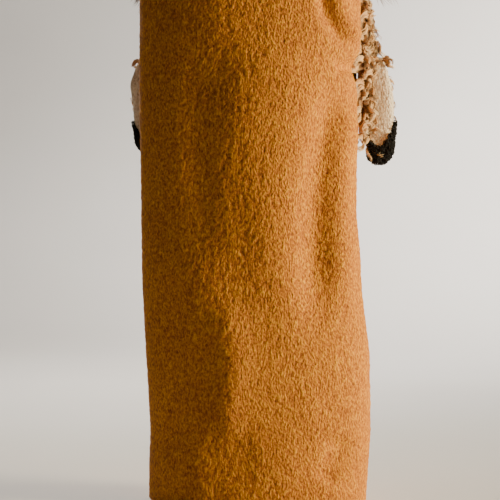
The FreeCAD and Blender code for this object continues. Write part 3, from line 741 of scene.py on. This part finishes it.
# The pocket is a knitted sleeve let into the pad, open at the fold where the fingers go in.
POCKET_HALF = 0.046
pocket_line = np.array([
    (-0.0450, 0.3430),
    (-0.0480, 0.3380),
    (-0.0480, 0.2580),
    (-0.0555, 0.2555),
    (-0.0625, 0.2590),
    (-0.0625, 0.3560),
    (-0.0600, 0.3640),
    (-0.0530, 0.3655),
])
pocket_run = lengths_along(pocket_line)
pocket_at = np.linspace(0, pocket_run[-1], 90)
pocket_y, pocket_z = [np.interp(pocket_at, pocket_run, pocket_line[:, k]) for k in (0, 1)]
pocket_x = np.linspace(-POCKET_HALF, POCKET_HALF, 40)
pocket_grid = grid_of(pocket_x, pocket_y[:, None], pocket_z[:, None])
pocket = new_mesh("finger_pocket_cloth", pocket_grid, grid_faces(90, 40))
put_on(pocket, brown_knit, "head_flap", "lining_cloth", "finger_pocket")


# ---- Mouth --------------------------------------------------------------------------------------
# Two pieces of dark red felt face each other across the mouth, each with a stiff board behind it,
# and a narrow stuffed roll covers the fold between them.
def felt_material(name, dark, light):
    """Pressed wool felt: matted fibres, no weave."""
    made, flow = new_material(name)
    fibres = flow.texture("Noise", Scale=900.0, Detail=4.0, Distortion=1.5)
    patch = flow.texture("Noise", Scale=90.0, Detail=3.0)
    surface(flow, (fibres * 0.7 + patch * 0.5 - 0.1).mixed(dark, light), fibres, 0.0004, roughness=0.92,
            sheen_weight=0.25, specular_ior_level=0.1)
    return made


mouth_felt = felt_material("mouth_felt", (0.100, 0.012, 0.012), (0.330, 0.045, 0.040))


def felt_plate(name, node, facing, square, thick=0.0011):
    """A flat piece of felt with rounded corners and turned-back edges, in a node's place."""
    low, high = [np.array(v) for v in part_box(node)]
    middle, half = (low + high) / 2, (high - low) / 2
    ring = np.linspace(0, 2 * math.pi, 161)[:-1]
    x = np.sign(np.cos(ring)) * np.abs(np.cos(ring)) ** (2 / square) * half[0]
    z = np.sign(np.sin(ring)) * np.abs(np.sin(ring)) ** (2 / square) * half[2]
    shrink = np.concatenate([[0.01], np.linspace(0.08, 0.985, 26), [1.0, 1.0]])[:, None]
    back = np.concatenate([np.zeros(27), [0.35], [1.0]])[:, None] * thick
    face = high[1] if facing > 0 else low[1]
    grid = grid_of(middle[0] + x * shrink, face - facing * back, middle[2] + z * shrink)
    grid[..., 1] += 0.00012 * lumps(grid, (0.004,) * 3, 61)
    faces = grid_faces(*grid.shape[:2], True)
    return new_mesh(name, grid, faces if facing < 0 else faces[:, ::-1])


felt_above = felt_plate("mouth_felt_upper", "mouth_lining_upper", 1, 7)
put_on(felt_above, mouth_felt, "head_flap", "mouth_felt", "mouth_lining_upper")
felt_below = felt_plate("mouth_felt_lower", "mouth_lining_lower", -1, 5)
put_on(felt_below, mouth_felt, "sleeve", "mouth_felt", "mouth_lining_lower")



def rolled_seam(low, high, rows, columns, fullness, squareness):
    """Corners of a round roll that lies across a box and closes at both ends."""
    middle, half = (low + high) / 2, (high - low) / 2
    run = np.linspace(-1, 1, rows)[:, None]
    taper = np.clip(1 - np.abs(run) ** squareness, 0.02, 1) ** 0.5
    around = np.linspace(0, 2 * math.pi, columns + 1)[:-1]
    return grid_of(
        middle[0] + run * half[0],
        middle[1] + half[1] * fullness * taper * np.cos(around),
        middle[2] + half[2] * fullness * taper * np.sin(around),
    )


roll_grid = rolled_seam(fold_low, fold_high, 150, 28, 0.94, 24)
fold_roll = new_mesh("fold_roll", roll_grid, grid_faces(150, 28, True))
put_on(fold_roll, mouth_felt, "sleeve", "mouth_felt", "fold_seam_roll")


def show_with(stuff, *nodes):
    """Puts a material on solids that are shown as they are."""
    for node in nodes:
        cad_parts[node].data.materials.clear()
        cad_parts[node].data.materials.append(stuff)


board_stuff, flow = new_material("grey_board")
board_grain = flow.texture("Noise", Scale=400.0, Detail=4.0)
surface(flow, board_grain.mixed((0.28, 0.25, 0.21), (0.42, 0.39, 0.33)), board_grain, 0.0002, roughness=0.85)
show_with(board_stuff, "mouth_board_upper", "mouth_board_lower")


# ---- Muzzle, chin and tongue --------------------------------------------------------------------
# The snout and the chin are small stuffed pads of cream plush sewn to the head and to the front of
# the bag.  The tongue is a strip of pink felt folded double and sewn to the chin.
# Its first colour is painted shade between the tufts and its last is painted light on them.
cream_plush = plush_material("cream_plush", (0.300, 0.190, 0.105), (0.660, 0.480, 0.300), (0.860, 0.730, 0.540),
                             0.15, (1.0, 0.9, 0.75))
muzzle_low = np.array(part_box("muzzle_skin")[0])
nose_low, nose_high = [np.array(v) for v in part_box("nose")]
muzzle = stuffed("muzzle_pad", ["muzzle_skin"], 0.0022, 0.0036, 0.0030)
corners, outward = places(muzzle), normals(muzzle)
groove = np.exp(-((corners[:, 0] / 0.0022) ** 2))
groove *= soft(nose_low[2] + 0.004, nose_low[2] - 0.002, corners[:, 2])
groove *= soft(muzzle_low[1] + 0.022, muzzle_low[1] + 0.012, corners[:, 1])
corners -= outward * (0.0026 * groove)[:, None]


def smile_height(x):
    """How high the line of the mouth runs, this far from the middle."""
    return muzzle_low[2] + 0.010 + 0.010 * (np.abs(x) / 0.034) ** 1.6


smile = np.exp(-(((corners[:, 2] - smile_height(corners[:, 0])) / 0.0018) ** 2))
smile *= soft(muzzle_low[1] + 0.024, muzzle_low[1] + 0.014, corners[:, 1])
corners -= outward * (0.0016 * smile)[:, None]
corners = dent(corners, outward, ((nose_low + nose_high) / 2 + (0, 0.012, 0)), (0.013, 0.010, 0.010), 0.0030)
move_corners(muzzle, corners)
nap(muzzle, 0.0009, 71)
put_on(muzzle, cream_plush, "head_flap", "muzzle_plush", "muzzle_skin", "muzzle_stuffing")

# Brown backstitch marks the mouth: down from the nose, then out to both sides.
YARN = 0.00055
muzzle_at, muzzle_out = places(muzzle), normals(muzzle)
facing = muzzle_out[:, 1] < -0.2
muzzle_at, muzzle_out = muzzle_at[facing], muzzle_out[facing]
smile_x = np.linspace(-0.024, 0.024, 60)
smile_path = np.stack([smile_x, smile_height(smile_x)], 1)
mouth_yarn = twisted_thread("mouth_yarn", (0.020, 0.009, 0.005), (0.075, 0.034, 0.018), 500.0, 0.0002, 0.7)
lip_path = np.stack([np.zeros(30), np.linspace(nose_low[2] - 0.0015, muzzle_low[2] + 0.0102, 30)], 1)
for path, name in ((smile_path, "mouth_stitches"), (lip_path, "lip_stitches")):
    nearest = [np.argmin(np.hypot(muzzle_at[:, 0] - x, muzzle_at[:, 2] - z)) for x, z in path]
    line = muzzle_at[nearest]
    line[:, 0], line[:, 2] = path[:, 0], path[:, 1]
    line[:, 1] = np.convolve(np.pad(line[:, 1], 3, "edge"), np.ones(7) / 7, "valid") - 0.0002
    sewn_line = stitches(name, line, muzzle_out[nearest], YARN, 0.10)
    put_on(sewn_line, mouth_yarn, "head_flap", "muzzle_plush")

chin = stuffed("chin_pad", ["chin_skin"], 0.0018, 0.0032, 0.0024)
nap(chin, 0.0009, 73)
put_on(chin, cream_plush, "sleeve", "muzzle_plush", "chin_skin", "chin_stuffing")

tongue_low, tongue_high = [np.array(v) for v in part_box("tongue")]
tongue_rows, tongue_columns = 60, 41
down = np.linspace(0, 1, tongue_rows)[:, None]
out = np.linspace(-1, 1, tongue_columns)
tongue_end = (1 - np.clip((down - 0.52) / 0.48, 0, 1) ** 2.4) ** 0.5
tongue_half = tongue_high[0] * (0.86 + 0.14 * np.sin(down * math.pi)) * tongue_end
tongue_z = tongue_high[2] + (tongue_low[2] - tongue_high[2]) * down
layers = []
for side in (-1, 1):
    y = (tongue_low[1] + tongue_high[1]) / 2 + side * 0.00105 * (1 - out ** 8)
    y = y + (0.0007 * np.exp(-((out / 0.10) ** 2)) if side < 0 else 0) - 0.0006 * (1 - out ** 2) * down
    layers.append(grid_of(tongue_half * out, y, tongue_z))
tongue_grid = np.concatenate([layers[0], layers[1][:, ::-1]], 1)
tongue = new_mesh("tongue_felt", tongue_grid, grid_faces(tongue_rows, tongue_columns * 2, True))
tongue_felt = felt_material("tongue_felt", (0.42, 0.080, 0.095), (0.72, 0.22, 0.23))
put_on(tongue, tongue_felt, "tongue", "tongue_felt", "tongue")


# ---- Eyes and nose ------------------------------------------------------------------------------
# Domed safety eyes and a moulded nose, black and brown plastic, pushed through the cloth and locked
# behind it with white washers.
eye_stuff, flow = new_material("eye_plastic")
parts = flow.node("SeparateXYZ", {}, {0: flow.node("TexCoord", output="Object")})
parts_z = flow.node("SeparateXYZ", {}, {0: flow.node("TexCoord", output="Object")}, 2)
off_x = parts.math("ABSOLUTE", parts, 0.0) - EYE_X
off_z = parts_z - EYE_Z
from_axis = flow.math("SQRT", off_x * off_x + off_z * off_z, 0.0)
iris = from_axis.between(0.0066, 0.0062)
pupil = from_axis.between(0.0041, 0.0037)
flecks = flow.texture("Noise", Scale=700.0, Detail=3.0)
ring = iris.mixed((0.004, 0.003, 0.003), (0.070, 0.024, 0.007))
ring = (flecks * iris * 0.5).mixed(ring, (0.150, 0.060, 0.018))
surface(flow, pupil.mixed(ring, (0.003, 0.003, 0.003)), flecks, 0.00002, roughness=0.10, coat_weight=0.5,
        coat_roughness=0.03)
nose_stuff, flow = new_material("nose_plastic")
pores = flow.texture("Voronoi", Scale=900.0)
surface(flow, pores.mixed((0.016, 0.013, 0.012), (0.034, 0.029, 0.026)), pores, 0.00025, roughness=0.32,
        coat_weight=0.3)
washer_stuff, flow = new_material("washer_plastic")
cloudy = flow.texture("Noise", Scale=300.0)
surface(flow, cloudy.mixed((0.70, 0.70, 0.68), (0.80, 0.80, 0.77)), cloudy, 0.00005, roughness=0.4)
show_with(eye_stuff, "eye_left", "eye_right")
show_with(nose_stuff, "nose")
show_with(washer_stuff, "eye_washer_left", "eye_washer_right", "nose_washer")


# ---- Manes --------------------------------------------------------------------------------------
# A band of long curly tan fur runs down each side of the face, over the roots of the ears.  The fur
# is a pile on its own backing, sewn on as a thin stuffed strip.
def scattered(made, count, seed, wanted=None):
    """Random places over a mesh, even by area, with the outward direction at each."""
    mesh = made.data
    mesh.calc_loop_triangles()
    found = np.empty(len(mesh.loop_triangles) * 3, np.int32)
    mesh.loop_triangles.foreach_get("vertices", found)
    corner, outward = places(made), normals(made)
    found = found.reshape(-1, 3)
    if wanted is not None:
        found = found[wanted(corner[found].mean(1), outward[found].mean(1))]
    a, b, c = (corner[found[:, k]] for k in range(3))
    area = np.linalg.norm(np.cross(b - a, c - a), axis=1)
    chance = np.random.default_rng(seed)
    pick = chance.choice(len(found), count, p=area / area.sum())
    u, v = chance.random((2, count, 1))
    flip = u + v > 1
    u, v = np.where(flip, 1 - u, u), np.where(flip, 1 - v, v)
    way = sum(outward[found[:, k]] for k in range(3))[pick]
    return a[pick] + u * (b - a)[pick] + v * (c - a)[pick], unit(way)


STRAND_SUNK = 0.0006


def strands(name, roots, outward, hang, seed, length, width, lock, curl, turns, parts=8):
    """Curly fur: strands that share their lock's path, taper to a point and hang one way."""
    chance = np.random.default_rng(seed)
    count = len(roots)
    cell = np.floor(roots / lock + lumps(roots, (lock * 1.5,) * 3, seed)[:, None] * 0.6).astype(int)
    _, of_lock = np.unique(cell, axis=0, return_inverse=True)
    of_lock = of_lock.ravel()
    locks = of_lock.max() + 1
    tally = np.bincount(of_lock, minlength=locks)[:, None]
    middle = np.stack([np.bincount(of_lock, roots[:, k], locks) for k in range(3)], 1) / tally
    leave = unit(np.stack([np.bincount(of_lock, outward[:, k], locks) for k in range(3)], 1))
    end = unit(np.array(hang) + chance.normal(0, 0.24, (locks, 3)))
    share = np.linspace(0, 1, parts)
    turned = soft(0, 0.75, share)[None, :, None]
    way = unit(leave[:, None] * (1 - turned) + end[:, None] * turned)
    length = np.broadcast_to(length, count)
    long = (np.bincount(of_lock, length, locks) / tally[:, 0])[:, None, None]
    long = long * chance.uniform(0.75, 1.2, (locks, 1, 1))
    path = np.cumsum(way, 1) * long / (parts - 1)
    side = unit(np.cross(way, chance.normal(0, 1, (locks, 1, 3))))
    angle = (2 * math.pi * turns * share)[None, :, None] * chance.choice([-1, 1], (locks, 1, 1))
    swing = np.sin(angle) * side + (1 - np.cos(angle)) * np.cross(way, side)
    path = path + curl * np.sqrt(share)[None, :, None] * swing
    own = chance.uniform(0.80, 1.15, (count, 1, 1))
    spread = (roots - middle[of_lock])[:, None] * (1 - 0.70 * share)[None, :, None]
    loose = chance.normal(0, 0.035, (count, 1, 3)) * length[:, None, None] * (share ** 2)[None, :, None]
    line = middle[of_lock][:, None] + path[of_lock] * own + spread + loose - outward[:, None] * STRAND_SUNK
    along = unit(np.gradient(line, axis=1))
    first = unit(np.cross(along, np.array([0.31, 0.47, 0.83])))
    second = np.cross(along, first)
    thick = width * chance.uniform(0.8, 1.2, (count, 1, 1, 1)) * ((1 - share) ** 0.55)[None, :, None, None]
    round_it = np.array([0, 2 * math.pi / 3, 4 * math.pi / 3])[None, None, :, None]
    circle = np.cos(round_it) * first[:, :, None] + np.sin(round_it) * second[:, :, None]
    ring = line[:, :, None] + thick * circle
    each = (parts - 1) * 3 + 1
    corners = np.concatenate([ring[:, :-1].reshape(count, -1, 3), line[:, -1:]], 1)
    base = np.arange(count)[:, None, None] * each
    quads = (grid_faces(parts - 1, 3, True)[None] + base).reshape(-1, 4)
    last = (parts - 2) * 3
    tips = np.array([(last + k, last + (k + 1) % 3, each - 1) for k in range(3)] + [(2, 1, 0)])
    made = new_mesh(name, corners, [quads, (tips[None] + base).reshape(-1, 3)])
    share_of = np.concatenate([np.repeat(share[:-1], 3), [1.0]])
    tone = np.clip(0.65 * chance.random(locks)[of_lock] + 0.35 * chance.random(count), 0, 1)
    keep_value(made, "along", np.tile(share_of, count))
    keep_value(made, "strand", np.repeat(tone, each))
    return made


def fur_material(name, root, dark, light, tip):
    """Acrylic fur: painted shade darkens the roots where the strands crowd together, each strand its own tone,
    paler at the tips.
    """
    made, flow = new_material(name)
    along = flow.node("Attribute", {"attribute_name": "along"}, output=2)
    strand = flow.node("Attribute", {"attribute_name": "strand"}, output=2)
    body = strand.mixed(dark, light)
    # Painted shade: each strand turns to the root colour near its base, where the fur's own shadow falls.
    colour = along.between(0.05, 0.45).mixed(root, body)
    colour = along.between(0.55, 1.0).mixed(colour, tip)
    grain = flow.texture("Noise", Scale=1500.0)
    surface(flow, colour, grain, 0.0001, roughness=0.55, sheen_weight=0.15, specular_ior_level=0.3)
    return made


# The root colour is painted shade at the base of the strands.
TAN_ROOT_SHADE, TAN_DARK = (0.250, 0.100, 0.028), (0.540, 0.260, 0.090)
TAN_LIGHT, TAN_TIP = (0.880, 0.580, 0.300), (0.930, 0.690, 0.430)
tan_fur = fur_material("tan_fur", TAN_ROOT_SHADE, TAN_DARK, TAN_LIGHT, TAN_TIP)
# Its first colour is painted shade between the tufts and its last is painted light on them.
tan_plush = plush_material("tan_plush", (0.200, 0.090, 0.034), (0.500, 0.270, 0.120), (0.750, 0.500, 0.280),
                           0.10, (1.0, 0.85, 0.6))
MANE_STRANDS = 2300
MANE_WIDTH, MANE_LOCK, MANE_CURL, MANE_TURNS = 0.00048, 0.0050, 0.0019, 1.5
for side, label in ((1, "left"), (-1, "right")):
    node = f"mane_{label}"
    pad = stuffed(f"{node}_strip", [node], 0.0008, 0.0028, 0.0010, 1)
    nap(pad, 0.0008, 81)
    put_on(pad, tan_plush, "head_flap", "mane_fur", node)
    roots, outward = scattered(pad, MANE_STRANDS, 83, lambda at, way: way[:, 0] * side > -0.3)
    outward = unit(outward + np.array([0.35 * side, 0, 0]))
    behind, backward = scattered(pad, MANE_STRANDS // 2, 87, lambda at, way: way[:, 1] > 0.3)
    inner = strands(f"{node}_inner_fur", behind, backward, (-0.55 * side, 0.9, -0.6), 89, 0.0190,
                    MANE_WIDTH, MANE_LOCK, MANE_CURL, MANE_TURNS)
    put_on(inner, tan_fur, "head_flap", "mane_fur")
    cream_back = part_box(f"ear_lining_{label}")[1][1]
    behind_ear = soft(cream_back - 0.002, cream_back + 0.005, roots[:, 1])
    long = 0.0145 * (1 - 0.55 * soft(0.285, 0.325, roots[:, 2])) * (1 - 0.45 * behind_ear)
    fur = strands(f"{node}_fur", roots, outward, (0.05 * side, 0.25, -1.0), 85, long,
                  MANE_WIDTH, MANE_LOCK, MANE_CURL, MANE_TURNS)
    put_on(fur, tan_fur, "head_flap", "mane_fur")


# ---- Ears ---------------------------------------------------------------------------------------
# Each ear is a flat stuffed flap that hangs from a seam under the mane.  Its front is short tan fur,
# its back is lined with cream plush, and black looped yarn covers the tip.
EAR_DARK_Z = 0.2290
EAR_SEAM_SHORT = 0.0080                 # the ear is gathered where it is sewn on
EAR_INSIDE = BAG_HALF + 0.0038          # the tip stays clear of the bag when the ear swings back
loop_stuff, flow = new_material("black_boucle")
curls = flow.texture("Noise", Scale=900.0, Detail=3.0)
surface(flow, curls.mixed((0.003, 0.003, 0.003), (0.016, 0.014, 0.013)), curls, 0.0003, roughness=0.8,
        specular_ior_level=0.25)
# Its first colour is painted shade between the tufts and its last is painted light on them.
ear_cream = plush_material("ear_cream", (0.300, 0.180, 0.120), (0.840, 0.660, 0.490), (0.980, 0.920, 0.800),
                           0.2, (1.0, 0.92, 0.8))


def cover(pad, name, chosen, lift):
    """A cloth laid over part of a pad: the faces chosen by place and direction, lifted off it."""
    made = bpy.data.objects.new(name, pad.data.copy())
    bpy.context.collection.objects.link(made)
    made.data.materials.clear()
    away = normals(pad)
    move_corners(made, places(pad) + away * lift)
    shape = bmesh.new()
    shape.from_mesh(made.data)
    shape.faces.ensure_lookup_table()
    middles = np.array([f.calc_center_median() for f in shape.faces])
    ways = np.array([f.normal for f in shape.faces])
    keep = chosen(middles, ways)
    bmesh.ops.delete(shape, geom=[f for f, k in zip(shape.faces, keep) if not k], context="FACES")
    shape.to_mesh(made.data)
    shape.free()
    return made


def loops(name, roots, outward, seed, radius, thread):
    """Boucle: a small ring of yarn standing at each root, turned every way."""
    chance = np.random.default_rng(seed)
    count = len(roots)
    across = unit(np.cross(outward, chance.normal(0, 1, (count, 3))))
    lean = unit(outward + chance.normal(0, 0.35, (count, 3)))
    across = unit(across - lean * (across * lean).sum(1, keepdims=True))
    third = np.cross(across, lean)
    size = radius * chance.uniform(0.75, 1.25, (count, 1, 1, 1))
    a = np.linspace(0, 2 * math.pi, 9)[:-1][None, :, None, None]
    b = np.linspace(0, 2 * math.pi, 5)[:-1][None, None, :, None]
    lean, across, third = (v[:, None, None] for v in (lean, across, third))
    circle = np.cos(a) * across + np.sin(a) * lean
    ring = roots[:, None, None] + size * 0.55 * lean + circle * (size + thread * np.cos(b))
    ring = ring + third * thread * np.sin(b)
    square = grid_faces(8, 4, True)
    last = np.array([(28 + k, 28 + (k + 1) % 4, (k + 1) % 4, k) for k in range(4)])
    quads = (np.concatenate([square, last])[None] + np.arange(count)[:, None, None] * 32).reshape(-1, 4)
    return new_mesh(name, ring, quads)


# How each ear hangs: side, name, share of its full length, gathering at the top and how far down it
# reaches, and how far the tip curls in.
EARS = ((1, "left", 0.86, 0.0065, 0.30, 0.0050), (-1, "right", 1.0, 0.0095, 0.50, 0.0))
for side, label, hung, gathered, reach, curl_in in EARS:
    ear_nodes = [f"ear_front_{label}", f"ear_lining_{label}", f"ear_tip_{label}"]
    ear_low = np.array([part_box(n)[0] for n in ear_nodes]).min(0)
    ear_high = np.array([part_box(n)[1] for n in ear_nodes]).max(0)
    ear_middle = (ear_low + ear_high) / 2
    pad = stuffed(f"ear_pad_{label}", ear_nodes, 0.0011, 0.0019, 0.0012, 1)
    corners = places(pad)
    down = (ear_high[2] - corners[:, 2]) / (ear_high[2] - ear_low[2])
    outer = np.clip(side * (corners[:, 0] - ear_middle[0]) / 0.0090, 0, 1)
    narrowed = gathered * np.clip(1 - down / reach, 0, 1) ** 1.4 - 0.0014 * soft(0.4, 0.65, down)
    corners[:, 0] -= side * outer * (narrowed + curl_in * soft(0.5, 1.0, down))
    corners[:, 1] += 0.0016 * np.sin(corners[:, 2] * 95) * soft(0.1, 0.5, down)
    inside = EAR_INSIDE - side * corners[:, 0]
    corners[:, 0] += side * np.maximum(inside, 0) * soft(0.3, 0.6, down) * 0.85
    corners[:, 2] = ear_high[2] - (ear_high[2] - corners[:, 2]) * hung
    move_corners(pad, corners)
    nap(pad, 0.0005, 91, (0.0010, 0.0010, 0.0012))

    def dark(at):
        """Whether a place is on the black tip: its edge dips in the middle of the ear."""
        centre = ear_middle[0] - side * 0.0022
        rise = 0.017 * np.clip(np.abs(at[:, 0] - centre) / 0.0100, 0, 1.15) ** 2.5
        height = ear_high[2] - (ear_high[2] - at[:, 2]) / hung
        return height < EAR_DARK_Z + rise + 0.0008 * lumps(at, (0.0022,) * 3, 93)

    put_on(pad, tan_plush, f"ear_{label}", "mane_fur", f"ear_front_{label}")

    def cream_part(at, way):
        """The back and the sides of the ear, down to the black tip."""
        return (way[:, 1] > -0.15) & ~dark(at + np.array([0, 0, 0.0006]))

    cream = cover(pad, f"ear_cream_{label}", cream_part, 0.00035)
    put_on(cream, ear_cream, f"ear_{label}", "ear_cream", f"ear_lining_{label}")

    tip = cover(pad, f"ear_tip_cover_{label}", lambda at, way: dark(at), 0.00060)
    put_on(tip, loop_stuff, f"ear_{label}", "ear_boucle", f"ear_tip_{label}")
    corners = places(pad)
    covered = np.where(dark(corners), 0.0011, 0.0004 * (normals(pad)[:, 1] > -0.15))
    move_corners(pad, corners - normals(pad) * covered[:, None])
    roots, outward = scattered(tip, 560, 95)
    yarn = loops(f"ear_loops_{label}", roots, outward, 97, 0.00125, 0.00034)
    put_on(yarn, loop_stuff, f"ear_{label}", "ear_boucle")

    def fur_part(at, way):
        """The front of the ear, down to a little over a strand's length above the black tip."""
        return (way[:, 1] < -0.5) & ~dark(at - np.array([0, 0, 0.0075]))

    roots, outward = scattered(pad, 900, 99, fur_part)
    fur = strands(f"ear_fur_{label}", roots, outward, (-0.05 * side, -0.35, -1.0), 101, 0.0060,
                  0.00028, 0.0034, 0.0008, 0.9, 6)
    put_on(fur, tan_fur, f"ear_{label}", "mane_fur")

    node = f"ear_seam_{label}"
    low, high = [np.array(v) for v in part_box(node)]
    outer_end = high if side > 0 else low
    outer_end[0] -= side * EAR_SEAM_SHORT
    seam_grid = rolled_seam(low, high, 60, 20, 0.85, 10)
    seam = new_mesh(f"ear_root_{label}", seam_grid, grid_faces(60, 20, True))
    keep_value(seam, "pile", pile_height(seam_grid, 103))
    put_on(seam, tan_plush, "head_flap", "mane_fur", node)
    roots, outward = scattered(seam, 420, 105, lambda at, way: way[:, 2] > -0.1)
    tuft = strands(f"ear_root_fur_{label}", roots, outward, (0.55 * side, 0.1, -0.75), 107, 0.0080,
                   0.00044, 0.0044, 0.0016, 1.3)
    put_on(tuft, tan_fur, "head_flap", "mane_fur")


# ---- Forelock -----------------------------------------------------------------------------------
# A tuft of long brown fur on the front of the crown, tan mixed with dark strands, hanging forward
# over the brow and out to both sides.
FORELOCK_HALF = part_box("forelock")[1][0]
tuft_pad = stuffed("forelock_pad", ["forelock"], 0.0012, 0.0030, 0.0015, 1)
nap(tuft_pad, 0.0008, 111)
# Its first colour is painted shade between the tufts and its last is painted light on them.
brown_plush = plush_material("brown_plush", (0.020, 0.010, 0.006), (0.085, 0.040, 0.020), (0.180, 0.095, 0.050),
                             0.1, (1.0, 0.85, 0.7))
put_on(tuft_pad, brown_plush, "sleeve", "dark_hair", "forelock")
# The root colour is painted shade at the base of the strands.
BROWN_ROOT_SHADE, BROWN_DARK = (0.018, 0.009, 0.005), (0.050, 0.022, 0.011)
BROWN_LIGHT, BROWN_TIP = (0.330, 0.170, 0.075), (0.260, 0.135, 0.065)
brown_fur = fur_material("brown_fur", BROWN_ROOT_SHADE, BROWN_DARK, BROWN_LIGHT, BROWN_TIP)
roots, outward = scattered(tuft_pad, 1700, 113, lambda at, way: way[:, 2] > -0.2)
outward = unit(outward + grid_of(0.9 * roots[:, 0] / FORELOCK_HALF, -0.6, 0.0))
hair = strands("forelock_fur", roots, outward, (0.0, -0.9, -0.35), 115, 0.020, 0.00036, 0.0060, 0.0020, 1.2)
put_on(hair, brown_fur, "sleeve", "dark_hair")

# Wisps of the same hair are caught in the top of each mane and stick out past the bag's edge.
WISP_STRANDS = 44
for side, label in ((1, "left"), (-1, "right")):
    mane_low, mane_high = [np.array(v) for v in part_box(f"mane_{label}")]
    chance = np.random.default_rng(121 + side)
    roots = np.stack([
        side * (abs(mane_high[0] + mane_low[0]) / 2 + chance.uniform(-0.001, 0.0015, WISP_STRANDS)),
        mane_high[1] - chance.uniform(0.003, 0.014, WISP_STRANDS),
        mane_high[2] - chance.uniform(0.001, 0.004, WISP_STRANDS),
    ], 1)
    outward = unit(np.array([0.55 * side, 0.15, 0.8]) + chance.normal(0, 0.12, roots.shape))
    wisps = strands(f"mane_wisps_{label}", roots, outward, (0.65 * side, 0.1, -0.75), 123, 0.0230,
                    0.00030, 0.0055, 0.0014, 0.8)
    put_on(wisps, brown_fur, "head_flap", "dark_hair")
